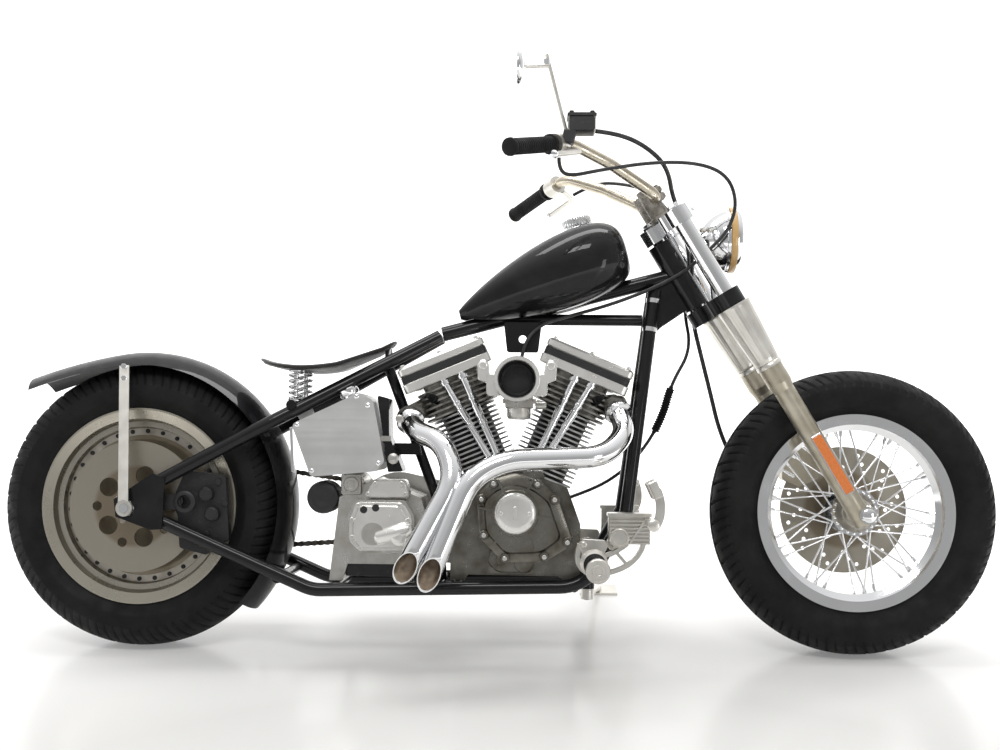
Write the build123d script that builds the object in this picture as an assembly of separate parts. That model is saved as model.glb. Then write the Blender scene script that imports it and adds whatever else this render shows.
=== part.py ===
"""A rigid-frame chopper motorcycle, leaning on its side stand.

Millimetres. The bike is modelled upright, +X forward, +Y to its left and +Z up, with the
origin on the floor line midway between the axles, and the whole is then leaned over onto
its side stand. Each entry of `pieces` is one sub-part, written to parts/NAME.step.
"""
import os
from math import atan2, cos, pi, radians, sin, sqrt, tan

from build123d import *

# ---- driving dimensions -------------------------------------------------------------
wheelbase = 1610
lean = 13  # degrees to the left, onto the side stand
fit_gap = 0.3  # between pieces that seat on one another
bearing_gap = 0.1  # round an axle, pin or stem
moving_gap = 5  # between pieces of different bodies

tyre_radius = 320
tyre_crown_radius = 80  # the tread's arc across the tyre
tyre_shoulder = 6  # from the end of that arc out to the sidewall
rim_radius = 220  # over the rim's flanges
rim_flange = 4
bead_seat_radius = 203
front_tyre_width = 130
rear_tyre_width = 150
front_rim_width = 92
rear_rim_width = 128
spokes_per_side = 20

rake = 31  # degrees from the vertical
leg_offset = 50  # fork legs ahead of the steering axis
axle_lead = 11  # axle ahead of the fork legs' centre lines
leg_half_spacing = 118
axle_radius = 10

main_tube_radius = 17
frame_tube_radius = 15
stay_half_spacing = 120  # where the stays reach the axle plates
rail_height = 152
rail_rear_x, rail_front_x, rail_front_half_spacing = -400, 200, 104
backbone_slope = 14.7  # degrees, rising forward

fender_clearance, fender_half_width, fender_drop, fender_wall = 30, 81, 33, 3
fender_radius = tyre_radius + fender_clearance

crank_x, crank_z = 41, 255
vee_half_angle = 22.5
chain_line = 92
chain_pitch = 15.875
rear_teeth, front_teeth = 47, 24

rear_x, front_x = -wheelbase / 2, wheelbase / 2
pieces = {}


# ---- ways of making a solid ---------------------------------------------------------
def rod(start, end, radius, inner=0):
    """A round bar, or a tube with a bore, from one point to another."""
    run = Vector(*end) - Vector(*start)
    section = Circle(radius) - Circle(inner) if inner else Circle(radius)
    return extrude(Plane(origin=start, z_dir=run) * section, run.length)


def bent_tube(points, bends, radius, inner=0):
    """A tube along straight runs, with a tangent arc of the given radius at each corner."""
    path = FilletPolyline(*points, radius=bends)
    section = Circle(radius) - Circle(inner) if inner else Circle(radius)
    return sweep(Plane(origin=path @ 0, z_dir=path % 0) * section, path)


def side_plate(outline, middle_y, thickness, corner=0):
    """A flat plate standing along the bike, from (x, z) corners, centred on middle_y."""
    face = make_face(Polyline(*outline, close=True))
    if corner:
        face = fillet(face.vertices(), corner)
    return extrude(Plane.XZ.offset(-middle_y) * face, thickness / 2, both=True)


def disc(x, z, y_from, y_to, radius, inner=0):
    """A round bar or ring lying across the bike, between two values of y."""
    return rod((x, y_from, z), (x, y_to, z), radius, inner)


def turned(x, z, edges):
    """A solid turned about an axle at (x, z), from edges drawn as (y, radius)."""
    across = Plane(origin=(0, 0, 0), x_dir=(0, 1, 0), z_dir=(1, 0, 0))
    return Pos(x, 0, z) * revolve(across * make_face(edges), Axis.Y)


def at_rear(x, z):
    """A point behind or ahead of the rear axle and above or below it, as (x, z)."""
    return (rear_x + x, tyre_radius + z)


def at_front(x, z):
    """A point behind or ahead of the front axle and above or below it, as (x, z)."""
    return (front_x + x, tyre_radius + z)


def pair(make):
    """The solid that `make` gives at the bike's right (-1) and at its left (+1)."""
    return make(-1) + make(1)


# ---- wheels -------------------------------------------------------------------------
def tyre(x, width, rim_width):
    """A tyre: sidewalls that bulge over the rim's flanges, under a round tread."""
    bead = rim_width / 2 - rim_flange - fit_gap
    seat = bead_seat_radius + fit_gap
    tread = width / 2 - tyre_shoulder
    crown_centre = tyre_radius - tyre_crown_radius
    tread_end = crown_centre + sqrt(tyre_crown_radius**2 - tread**2)
    widest = (rim_radius + tread_end) / 2 + 8
    foot = rim_radius + rim_flange
    return turned(x, tyre_radius, [
        Line((-bead, seat), (-bead, foot)),
        ThreePointArc((-bead, foot), (-width / 2, widest), (-tread, tread_end)),
        ThreePointArc((-tread, tread_end), (0, tyre_radius), (tread, tread_end)),
        ThreePointArc((tread, tread_end), (width / 2, widest), (bead, foot)),
        Line((bead, foot), (bead, seat)),
        Line((bead, seat), (-bead, seat)),
    ])


def mirrored_outline(half):
    """Edges through (y, radius) corners given for +y only, and through their mirror image."""
    corners = half + [(-y, r) for y, r in reversed(half)]
    return Polyline(*corners, close=True)


pieces["front_tyre"] = tyre(front_x, front_tyre_width, front_rim_width)
pieces["rear_tyre"] = tyre(rear_x, rear_tyre_width, rear_rim_width)

# The front wheel: a drop-centre rim laced to a flanged hub, both sides crossed.
rim_edge = front_rim_width / 2
rim_bed_radius = 184
rim_skin = 6
hub_radius, flange_radius, flange_y = 26, 53, 33
disc_to_leg = 42
front_disc_y = leg_half_spacing - disc_to_leg
disc_thickness = 5
front_hub_end = front_disc_y + 8
spoke_radius = 2
lacing_angle = 42  # degrees round the wheel, from a spoke's hub end to its rim end

front_wheel = turned(front_x, tyre_radius, mirrored_outline([
    (16, rim_bed_radius),
    (24, bead_seat_radius - rim_skin),
    (rim_edge - 2, bead_seat_radius - rim_skin),
    (rim_edge, rim_radius - rim_flange),
    (rim_edge, rim_radius),
    (rim_edge - rim_flange, rim_radius),
    (rim_edge - rim_flange, bead_seat_radius),
    (28, bead_seat_radius),
    (18, rim_bed_radius + rim_skin),
]))
front_wheel += disc(front_x, tyre_radius, -front_hub_end, front_disc_y, hub_radius)
front_wheel += disc(front_x, tyre_radius, 40, front_disc_y - disc_thickness / 2 - fit_gap, 40)
for side in (-1, 1):
    y = side * flange_y
    front_wheel += disc(front_x, tyre_radius, y - 3, y + 3, flange_radius)
    for k in range(spokes_per_side):
        hub_angle = radians((k + side / 4) * 360 / spokes_per_side)
        rim_angle = hub_angle + radians(lacing_angle if k % 2 else -lacing_angle)
        inner, outer = flange_radius - 6, rim_bed_radius + rim_skin / 2
        front_wheel += rod(
            (front_x + inner * cos(hub_angle), y, tyre_radius + inner * sin(hub_angle)),
            (front_x + outer * cos(rim_angle), side * 7, tyre_radius + outer * sin(rim_angle)),
            spoke_radius,
        )
front_wheel -= disc(front_x, tyre_radius, -200, 200, axle_radius + bearing_gap)
pieces["front_wheel_laced"] = front_wheel

# The front brake disc, on the left, drilled in slanting rows of three.
disc_radius = 146
front_disc = disc(front_x, tyre_radius, front_disc_y - disc_thickness / 2,
                  front_disc_y + disc_thickness / 2, disc_radius, hub_radius + fit_gap)
for k in range(12):
    for radius, lag in ((98, 0), (114, 7), (130, 14)):
        angle = radians(30 * k + lag)
        front_disc -= disc(front_x + radius * cos(angle), tyre_radius + radius * sin(angle),
                           front_disc_y - 10, front_disc_y + 10, 4.5)
pieces["front_brake_disc"] = front_disc

# The rear wheel: a solid disc in a deep polished lip, with the brake on its right.
lip = rear_rim_width / 2
rear_disc_y = -90
rear_hub_right = rear_disc_y + disc_thickness / 2 + fit_gap
rear_hub_left = chain_line - 4 - fit_gap
rear_wheel = turned(rear_x, tyre_radius, mirrored_outline([
    (20, 40),
    (20, 84),
    (27, 150),
    (27, 176),
    (45, 178),
    (45, 190),
    (52, 193),
    (lip - rim_flange, 196),
    (lip, rim_radius - rim_flange),
    (lip, rim_radius),
    (lip - rim_flange, rim_radius),
    (lip - rim_flange, bead_seat_radius),
    (30, bead_seat_radius),
    (22, 194),
]))
rear_wheel += disc(rear_x, tyre_radius, rear_hub_right, rear_hub_left, 44)
rear_wheel -= disc(rear_x, tyre_radius, -200, 200, axle_radius + bearing_gap)
pieces["rear_wheel_disc"] = rear_wheel

rear_disc = disc(rear_x, tyre_radius, rear_disc_y - disc_thickness / 2,
                 rear_disc_y + disc_thickness / 2, disc_radius, axle_radius + 4)
for k in range(5):
    for radius, lag, hole in ((72, 0, 21), (84, 36, 10.5)):
        angle = radians(72 * k + lag)
        rear_disc -= disc(rear_x + radius * cos(angle), tyre_radius + radius * sin(angle),
                          rear_disc_y - 10, rear_disc_y + 10, hole)
pieces["rear_brake_disc"] = rear_disc

# Sprockets and chain on the left. The chain is one band over both pitch circles.
rear_pitch = chain_pitch / 2 / sin(pi / rear_teeth)
front_pitch = chain_pitch / 2 / sin(pi / front_teeth)
chain_half_height, chain_width = 6.5, 16
sprocket_thickness = 7
sprocket_clearance = 1
drive_x, drive_z = -252, 300


def sprocket(x, z, pitch_radius, bore=0):
    """A sprocket that fills the chain's loop to just inside its rollers."""
    return disc(x, z, chain_line - sprocket_thickness / 2, chain_line + sprocket_thickness / 2,
                pitch_radius - chain_half_height - sprocket_clearance, bore)


pieces["rear_sprocket"] = sprocket(rear_x, tyre_radius, rear_pitch, axle_radius + 4)


def belt_outline(growth):
    """The outline round both sprockets, a given distance outside their pitch circles."""
    run = sqrt((drive_x - rear_x) ** 2 + (drive_z - tyre_radius) ** 2)
    tilt = atan2(drive_z - tyre_radius, drive_x - rear_x)
    wrap = atan2(rear_pitch - front_pitch, sqrt(run**2 - (rear_pitch - front_pitch) ** 2))
    ends = []
    for x, z, radius in ((rear_x, tyre_radius, rear_pitch), (drive_x, drive_z, front_pitch)):
        for side in (1, -1):
            angle = tilt + side * (pi / 2 - wrap)
            reach = radius + growth
            ends.append((x + reach * cos(angle), z + reach * sin(angle)))
    rear_back = (rear_x - (rear_pitch + growth) * cos(tilt), tyre_radius - (rear_pitch + growth) * sin(tilt))
    drive_nose = (drive_x + (front_pitch + growth) * cos(tilt), drive_z + (front_pitch + growth) * sin(tilt))
    return make_face([
        Line(ends[0], ends[2]),
        ThreePointArc(ends[2], drive_nose, ends[3]),
        Line(ends[3], ends[1]),
        ThreePointArc(ends[1], rear_back, ends[0]),
    ])


band = belt_outline(chain_half_height) - belt_outline(-chain_half_height)
pieces["drive_chain"] = extrude(Plane.XZ.offset(-chain_line) * band, chain_width / 2, both=True)

# ---- steering geometry --------------------------------------------------------------
# The fork's own plane: u ahead of the steering axis, y to the left, s up along the axis,
# from the point on the axis that is square to the front axle.
forward = Vector(cos(radians(rake)), 0, sin(radians(rake)))
upward = Vector(-sin(radians(rake)), 0, cos(radians(rake)))
axle_offset = leg_offset + axle_lead
steering_foot = Vector(front_x, 0, tyre_radius) - forward * axle_offset
fork_plane = Plane(origin=steering_foot, x_dir=forward, z_dir=upward)


def on_fork(u, y, s):
    """The point at u, y, s of the fork, in the bike's coordinates."""
    return tuple(steering_foot + forward * u + Vector(0, y, 0) + upward * s)


def fork_turned(u, y, edges):
    """A solid turned about a line along the fork, from edges drawn as (radius, s)."""
    return fork_plane * (Pos(u, y, 0) * revolve(Plane.XZ * make_face(edges), Axis.Z))


fork_tube_radius = 20.5
slider_top, shroud_top = 391, 536
lower_clamp_top, top_clamp_bottom, top_clamp_top = 572, 750, 786
slider_radius, slider_shoulder_radius = 23, 27
stem_radius = 13
neck_radius = 28

pieces["fork_tubes"] = pair(lambda side: rod(
    on_fork(leg_offset, side * leg_half_spacing, slider_top - 60),
    on_fork(leg_offset, side * leg_half_spacing, top_clamp_top - 4),
    fork_tube_radius,
))


def slider(side):
    """A fork slider: a shouldered tube with the axle's clamp at its foot."""
    leg = fork_turned(leg_offset, side * leg_half_spacing, Polyline(
        (0, -14), (slider_radius, -14), (slider_radius, 322), (slider_shoulder_radius, 340),
        (slider_shoulder_radius, slider_top), (0, slider_top), close=True,
    ))
    leg -= rod(on_fork(leg_offset, side * leg_half_spacing, slider_top - 60 - fit_gap),
               on_fork(leg_offset, side * leg_half_spacing, slider_top + 10), fork_tube_radius + fit_gap)
    leg += rod(on_fork(axle_offset, side * (leg_half_spacing - 22), 0),
               on_fork(axle_offset, side * (leg_half_spacing + 24), 0), 19)
    return leg - disc(front_x, tyre_radius, -200, 200, axle_radius + fit_gap)


pieces["fork_sliders"] = pair(slider)

# Fluted shrouds round the tubes, standing on the sliders' tops and under the lower clamp.
shroud_bottom_radius, shroud_top_radius, shroud_wall = 28, 38, 2.5


def shroud(side):
    """A tapered sleeve, belled at its top."""
    bottom = slider_top + fit_gap
    return fork_turned(leg_offset, side * leg_half_spacing, Polyline(
        (fork_tube_radius + fit_gap, bottom), (shroud_bottom_radius, bottom),
        (shroud_bottom_radius + 2, bottom + 20), (shroud_top_radius, shroud_top),
        (fork_tube_radius + fit_gap, shroud_top), (fork_tube_radius + fit_gap, shroud_top - 6),
        (shroud_top_radius - shroud_wall - 1, shroud_top - 6),
        (shroud_bottom_radius, bottom + 24), (shroud_bottom_radius - shroud_wall, bottom + 6),
        (fork_tube_radius + fit_gap, bottom + 6), close=True,
    ))


pieces["fork_shrouds"] = pair(shroud)


def fork_clamp(s_from, s_to, ring_radius, web_half_width, stem_bore):
    """A clamp across both legs, bored for the legs and for the steering stem."""
    legs = [(leg_offset, side * leg_half_spacing) for side in (-1, 1)]
    flat = Pos(leg_offset / 2 + 4, 0) * RectangleRounded(
        web_half_width * 2, leg_half_spacing * 2, 12)
    for u, y in legs:
        flat += Pos(u, y) * Circle(ring_radius)
    flat += Circle(ring_radius)
    for u, y in legs:
        flat -= Pos(u, y) * Circle(fork_tube_radius + fit_gap)
    flat -= Circle(stem_bore)
    return fork_plane * (Pos(0, 0, s_from) * extrude(flat, s_to - s_from))


pieces["fork_top_clamp"] = fork_clamp(top_clamp_bottom, top_clamp_top, 29, 22, stem_radius + fit_gap)
stem = rod(on_fork(0, 0, shroud_top + fit_gap), on_fork(0, 0, top_clamp_top + 12), stem_radius)
pieces["fork_lower_clamp"] = fork_clamp(shroud_top + fit_gap, lower_clamp_top, 31, 26, stem_radius - 3) + stem

front_axle = disc(front_x, tyre_radius, -leg_half_spacing - 24, leg_half_spacing + 34, axle_radius)
front_axle += disc(front_x, tyre_radius, -leg_half_spacing - 34, -leg_half_spacing - 24 - fit_gap, 12)
pieces["front_axle"] = front_axle

# ---- frame --------------------------------------------------------------------------
neck = rod(on_fork(0, 0, lower_clamp_top + moving_gap), on_fork(0, 0, top_clamp_bottom - moving_gap),
           neck_radius, stem_radius + bearing_gap)
neck_joint = Vector(*on_fork(0, 0, 664))
slope = radians(backbone_slope)
backbone_end_x = -128


def on_backbone(x):
    """The height of the backbone's centre line at x."""
    return neck_joint.Z - (neck_joint.X - x) * sin(slope) / cos(slope)


down_top = (neck_joint.X - 54.7, 0, neck_joint.Z - 9.8)
down_bottom = (290, 0, 316)
gusset = side_plate([
    on_fork(-4, 0, lower_clamp_top + 12)[::2], on_fork(-4, 0, 664)[::2],
    (down_top[0], on_backbone(down_top[0])), (neck_joint.X - 75.7, neck_joint.Z - 157.8),
    (neck_joint.X - 38.7, neck_joint.Z - 122.8),
], 0, 30)
backbone = rod((neck_joint.X, 0, neck_joint.Z), (backbone_end_x, 0, on_backbone(backbone_end_x)),
               main_tube_radius)
neck_core = rod(on_fork(0, 0, 500), on_fork(0, 0, 800), neck_radius - 1)
brace_front_x, brace_rear_x = neck_joint.X - 81, neck_joint.X - 391
brace_z = on_backbone(brace_rear_x) - 3.3
brace = rod((brace_front_x, 0, brace_z), (brace_rear_x, 0, brace_z), frame_tube_radius - 2)

# A plate with a hole hangs beside the brace, and steadies the engine's top.
steady_x, steady_y, steady_drop = brace_rear_x + 37, -60, 80
steady = side_plate([(steady_x - 43, brace_z - 12), (steady_x + 43, brace_z - 12),
                     (steady_x + 35, brace_z - steady_drop), (steady_x - 35, brace_z - steady_drop)],
                    steady_y, 8, 6)
steady -= disc(steady_x, brace_z - 50, steady_y - 10, steady_y + 10, 9)
steady += disc(steady_x, brace_z - 20, steady_y, 0, 9)
pieces["frame_backbone"] = neck + (backbone + brace + steady + gusset - neck_core)

axle_plate_x, axle_plate_top = at_rear(63, 58)
axle_plate_bottom = tyre_radius - 28
plate_thickness = 8


def on_stay(x):
    """The height of the upper stays' centre lines at x."""
    top_x, top_z = backbone_end_x - 4, on_backbone(backbone_end_x) - 6
    return top_z + (axle_plate_top - top_z) * (x - top_x) / (axle_plate_x - top_x)


def upper_stay(side):
    """From the backbone's end, out and down to the axle plate."""
    top = Vector(backbone_end_x - 4, side * 24, on_backbone(backbone_end_x) - 6)
    foot = Vector(axle_plate_x, side * stay_half_spacing, axle_plate_top)
    knee = top + (foot - top) * 0.62
    return bent_tube([tuple(top), (knee.X, side * (stay_half_spacing - 8), knee.Z), tuple(foot)], 260,
                     frame_tube_radius)


def cradle_rail(side):
    """From the axle plate down to the floor of the frame, and forward to the down tube."""
    return bent_tube([
        (axle_plate_x, side * stay_half_spacing, axle_plate_bottom),
        (rail_rear_x, side * stay_half_spacing, rail_height - 8),
        (rail_front_x, side * rail_front_half_spacing, rail_height + 4),
        (down_bottom[0], side * 72, down_bottom[2]),
    ], [90, 100], frame_tube_radius)


def down_tube(side):
    """From the neck down to the rail's front end."""
    return rod((down_bottom[0], side * 72, down_bottom[2] + 1), (down_top[0], side * 26, down_top[2] - 30),
               frame_tube_radius)


def axle_plate(side):
    """The plate that joins two stays and carries the rear axle in its slot."""
    outline = [at_rear(-30, 18), at_rear(-10, 32), at_rear(55, 76), at_rear(81, 64),
               at_rear(77, -46), at_rear(53, -48), at_rear(-25, -20)]
    return side_plate(outline, side * (stay_half_spacing + frame_tube_radius + 5), plate_thickness)


pieces["frame_upper_stays"] = pair(lambda side: upper_stay(side) - axle_plate(side) - rod(
    (neck_joint.X, 0, neck_joint.Z), (backbone_end_x, 0, on_backbone(backbone_end_x)),
    main_tube_radius + fit_gap))
pieces["frame_down_tubes"] = pair(
    lambda side: down_tube(side) - pieces["frame_backbone"] - cradle_rail(side))

stand_pivot = (214, 122, 112)
stand_pin_radius, stand_hub_radius, stand_hub_height = 8, 16, 24
stand_pin = rod((*stand_pivot[:2], stand_pivot[2] - stand_hub_height / 2 - 2), (*stand_pivot[:2], rail_height),
                stand_pin_radius)
stand_pin += rod((*stand_pivot[:2], stand_pivot[2] + stand_hub_height / 2 + 1), (*stand_pivot[:2], rail_height),
                 stand_hub_radius)
stand_pin += rod((*stand_pivot[:2], rail_height - 12), (150, 108, rail_height - 2), 12)
pieces["frame_cradle_rails"] = stand_pin + pair(
    lambda side: cradle_rail(side) + axle_plate(side)
    - disc(rear_x, tyre_radius, -200, 200, axle_radius + fit_gap))


def rail_inner(x):
    """How far the inside of a rail is from the bike's middle at x."""
    along = (x - rail_rear_x) / (rail_front_x - rail_rear_x)
    return stay_half_spacing + (rail_front_half_spacing - stay_half_spacing) * along - frame_tube_radius


cross_tube_radius, post_radius = 11, 12
post_top, post_knee, post_foot_x = (-252, on_stay(-252) - 3), (-130, 325), -124
seat_rail_x = -454
seat_rail_z = on_stay(seat_rail_x) + 14
cross_members = [disc(x, rail_height, -rail_inner(x) + fit_gap, rail_inner(x) - fit_gap, cross_tube_radius)
                 for x in (175, post_foot_x, -84, -200, -350)]
cross_members.append(disc(seat_rail_x, seat_rail_z, -118, 118, cross_tube_radius))
fender_rest = radians(-25)
rest_reach = fender_radius + fit_gap + cross_tube_radius
cross_members.append(disc(rear_x + rest_reach * cos(fender_rest), tyre_radius + rest_reach * sin(fender_rest),
                          -118, 118, cross_tube_radius))
post = bent_tube([(post_top[0], -10, post_top[1]), (post_knee[0], -10, post_knee[1]),
                  (post_foot_x, -10, rail_height)], 200, post_radius)
cross_members[1] += post + disc(post_top[0], post_top[1], -28, 28, cross_tube_radius)
for side in (-1, 1):
    cross_members = [member - cradle_rail(side) - upper_stay(side) for member in cross_members]
pieces["frame_cross_members"] = Part() + cross_members

axle_plate_outer = stay_half_spacing + frame_tube_radius + 5 + plate_thickness / 2
axle_collar_radius, axle_collar_end, axle_end = 17, axle_plate_outer + 14, axle_plate_outer + 26
rear_axle = disc(rear_x, tyre_radius, -axle_end, axle_end, axle_radius)
for y_from, y_to in ((-axle_plate_outer + plate_thickness + fit_gap, rear_disc_y - disc_thickness / 2 - 1.5),
                     (chain_line + 6, axle_plate_outer - plate_thickness - fit_gap)):
    rear_axle += disc(rear_x, tyre_radius, y_from, y_to, 17)
rear_axle += disc(rear_x, tyre_radius, -axle_collar_end, -axle_plate_outer - fit_gap, axle_collar_radius)
rear_axle += disc(rear_x, tyre_radius, axle_plate_outer + fit_gap, axle_collar_end, axle_collar_radius)
pieces["rear_axle"] = rear_axle

# ---- engine -------------------------------------------------------------------------
case_half_width = 75
deck = 150  # from the crankshaft up to a cylinder's foot
barrel_top, head_top, rocker_top = 312, 388, 447
rocker_lower, rocker_band = 20, 17  # the heights of a rocker box's lower casting and of the band on it


def cylinder_plane(side):
    """Along one cylinder, from the crankshaft: side -1 leans back, +1 leans forward."""
    tilt = radians(vee_half_angle) * side
    return Plane(origin=(crank_x, 0, crank_z), x_dir=(cos(tilt), 0, -sin(tilt)),
                 z_dir=(sin(tilt), 0, cos(tilt)))


def finned(side, section, core, h_from, h_to, pitch, fin):
    """A core with a stack of cooling fins, each `fin` thick."""
    plane = cylinder_plane(side)
    solid = plane * Pos(0, 0, h_from) * extrude(core, h_to - h_from)
    count = int((h_to - h_from - fin) / pitch)
    for k in range(count + 1):
        solid += plane * Pos(0, 0, h_from + k * pitch) * extrude(section, fin)
    beyond_middle = Pos(crank_x - side * 199.5, 0, crank_z) * Box(400, 400, 1200)
    return solid - beyond_middle


pieces["cylinder_barrels"] = pair(lambda side: finned(
    side, Circle(74.5), Circle(54), deck + fit_gap, barrel_top, 11, 4))
exhausts = {
    "exhaust_pipe_front": ([(268, -64, 548), (286, -112, 494), (236, -168, 441), (20, -208, 433),
                            (-52, -222, 392), (-132, -255, 194)], [30, 45, 60, 60]),
    "exhaust_pipe_rear": ([(-196, -64, 520), (-176, -118, 492), (-110, -178, 470), (-84, -212, 390),
                           (-182, -255, 208)], [30, 45, 60]),
}
port_depth, port_radius = 14, 27


def head_outline(side):
    """A cylinder head's outside, without its fins' gaps."""
    return cylinder_plane(side) * Pos(0, 0, barrel_top + fit_gap) * extrude(
        RectangleRounded(168, 148, 34), head_top - barrel_top - fit_gap)


def exhaust_port(side, points):
    """The port of one head: a flange square to the pipe's start, and its neck into the head."""
    start = Vector(*points[0])
    outward = (Vector(*points[1]) - start).normalized()
    back = start - outward * port_depth
    inside = cylinder_plane(side).from_local_coords((side * 60, -30, (barrel_top + head_top) / 2))
    neck = rod(tuple(inside), tuple(back), port_radius - 5)
    neck -= rod(tuple(back), tuple(back + outward * 60), 80)
    return neck + rod(tuple(back), tuple(start - outward * fit_gap), port_radius)


def cylinder_head(side):
    """One head with its fins and its exhaust port."""
    name = "exhaust_pipe_front" if side > 0 else "exhaust_pipe_rear"
    head = finned(side, RectangleRounded(168, 148, 34), RectangleRounded(130, 118, 20),
                  barrel_top + fit_gap, head_top, 12, 4.5)
    return head + exhaust_port(side, exhausts[name][0])


pieces["cylinder_heads"] = pair(cylinder_head)


def rocker_box(side):
    """The rocker box on one head, wide enough to take the pushrod tubes from below."""
    height = rocker_top - head_top
    box = extrude(RectangleRounded(204, 180, 14), height)
    box += extrude(RectangleRounded(208, 184, 14), rocker_lower)
    box += Pos(0, 0, rocker_lower + rocker_band) * extrude(
        RectangleRounded(208, 184, 14), height - rocker_lower - rocker_band)
    return cylinder_plane(side) * Pos(0, 0, head_top + fit_gap) * box


pieces["rocker_boxes"] = pair(rocker_box)

mount_height = rail_height + cross_tube_radius + fit_gap
crankcase_outline = [(-100, mount_height), (-68, mount_height), (-60, 176), (140, 174), (152, mount_height),
                     (188, mount_height), (188, 290), (160, 367.7), (41, 417), (-78, 367.7), (-100, 300)]
crankcase = side_plate(crankcase_outline, 0, case_half_width * 2)
for side in (-1, 1):
    crankcase -= cylinder_plane(side) * Pos(0, 0, deck) * extrude(Rectangle(150, 400), 200)
crankcase += side_plate([(-14, 206), (84, 206), (84, 184), (-14, 184)], -case_half_width - 19, 40, 6)  # the oil pump
pieces["crankcase"] = crankcase
cam_outline = [(-34, 262), (20, 208), (112, 212), (172, 250), (136, 352), (96, 388), (44, 400), (-10, 388),
               (-40, 352)]
cam_crown = [(-20, 272), (24, 226), (104, 230), (146, 262), (118, 342), (84, 368), (44, 380), (4, 368),
             (-26, 342)]
cam_x, cam_z = 44, 316
cam_depth, crown_depth, points_depth = 50, 8, 10
lifter_top, pushrod_foot_y, pushrod_top_y, pushrod_radius = 406.7, -98, -82.5, 7.5
cam_face = -case_half_width - fit_gap - cam_depth
cam_cover = side_plate(cam_outline, cam_face + cam_depth / 2, cam_depth, 10)
cam_cover += side_plate(cam_crown, cam_face - crown_depth / 2, crown_depth, 10)
for block_x in (12, 82):
    cam_cover += side_plate([(block_x - 26, 380), (block_x - 22, lifter_top), (block_x + 22, lifter_top),
                             (block_x + 26, 370)], pushrod_foot_y, 34)
pieces["cam_cover"] = cam_cover + disc(cam_x, cam_z, cam_face - crown_depth - points_depth, cam_face, 46)

pushrods = []
for side, foot_x, across_top in ((-1, 5, -14), (-1, 20, 29), (1, 73, -14), (1, 89, 26)):
    head = cylinder_plane(side).from_local_coords((across_top, pushrod_top_y, head_top + 2))
    tube = rod((foot_x, pushrod_foot_y, lifter_top - 3), tuple(head), pushrod_radius)
    tube -= Pos(0, 0, lifter_top + fit_gap - 100) * Box(800, 400, 200)
    pushrods.append(tube - rocker_box(side))
pieces["pushrod_tubes"] = Part() + pushrods

carb_x, carb_z = 46, 606
carburettor = disc(carb_x, carb_z, -30, -130, 34)
carburettor += side_plate([(15, 585), (80, 585), (84, 520), (17, 520)], -112, 60, 8)
for side in (-1, 1):  # the inlet pipes to the two heads
    inlet = cylinder_plane(side).from_local_coords((-side * 40, -34, (barrel_top + head_top) / 2))
    carburettor += rod((carb_x, -42, carb_z), tuple(inlet), 18) - head_outline(side)
horn_y, horn_radius, horn_bore, throat_bore = -200, 49, 40, 28
horn = disc(carb_x, carb_z, horn_y, horn_y + 40, horn_radius) + disc(carb_x, carb_z, horn_y + 40, -130, 44)
for side in (-1, 1):  # the cranked brackets that hold the horn
    horn += side_plate([(carb_x + side * 34, carb_z - 36), (carb_x + side * 64, carb_z - 36),
                        (carb_x + side * 66, carb_z - 5), (carb_x + side * 84, carb_z),
                        (carb_x + side * 84, carb_z + 38), (carb_x + side * 62, carb_z + 38),
                        (carb_x + side * 58, carb_z + 12), (carb_x + side * 34, carb_z + 8)], horn_y + 46, 8)
horn -= disc(carb_x, carb_z, horn_y - 10, horn_y + 40, horn_bore)
pieces["carburettor"] = carburettor + horn - disc(carb_x, carb_z, horn_y - 10, horn_y + 80, throat_bore)

# Exhaust pipes, each open at a slash-cut tip.
pipe_radius, pipe_wall = 23.5, 1.8
tip_overhang = 34  # how far a pipe runs on past its tip's middle, before the slanting cut
tip_slant = 1.2  # how much the cut faces sideways, against how much it faces along the pipe


def exhaust_pipe(points, bends):
    """One pipe, open at both ends, its tip cut at a slant that faces outwards."""
    corners = [Vector(*point) for point in points]
    onward = (corners[-1] - corners[-2]).normalized()
    run = [tuple(corner) for corner in corners[:-1] + [corners[-1] + onward * tip_overhang]]
    pipe = bent_tube(run, bends, pipe_radius, pipe_radius - pipe_wall)
    beyond = Plane(origin=points[-1], z_dir=onward + Vector(0, -tip_slant, 0))
    return pipe - beyond * Pos(0, 0, 100) * Box(200, 200, 200)


pieces["exhaust_pipes"] = Part() + [exhaust_pipe(points, bends) for points, bends in exhausts.values()]

# ---- gearbox, primary drive and auxiliaries ------------------------------------------
gearbox_left = 65
gearbox = side_plate([(-365, mount_height), (-335, mount_height), (-325, 200), (-222, 200), (-214, mount_height),
                      (-186, mount_height), (-160, 205), (-150, 300), (-165, 346), (-268, 386), (-345, 346)],
                     gearbox_left - 85, 170)
gearbox += disc(-316, 374, -112, 60, 24)  # the starter motor
gearbox += disc(drive_x, drive_z, 60, chain_line + 8, 14) + sprocket(drive_x, drive_z, front_pitch)
gearbox += side_plate([(-322, 300), (-306, 343), (-196, 343), (-176, 310), (-172, 250), (-186, 229), (-300, 227),
                       (-322, 250)], -125, 44, 10)
gearbox += side_plate([(-288, 346), (-268, 386), (-196, 386), (-186, 346)], -104, 50, 8)  # its top cover
pieces["gearbox"] = gearbox + disc(-264, 270, -158, -146, 24)
primary_y, primary_depth = 139, 62
primary = make_hull((Pos(crank_x, crank_z) * Circle(80) + Pos(-235, 292) * Circle(104)).edges())
primary_case = extrude(Plane.XZ.offset(-primary_y) * primary, primary_depth / 2, both=True)
primary_inner = primary_y - primary_depth / 2
primary_case += disc(crank_x, crank_z, case_half_width + fit_gap, primary_inner, 55)
primary_case += disc(-180, 235, gearbox_left + fit_gap, primary_inner, 14)
pieces["primary_case"] = primary_case
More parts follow.
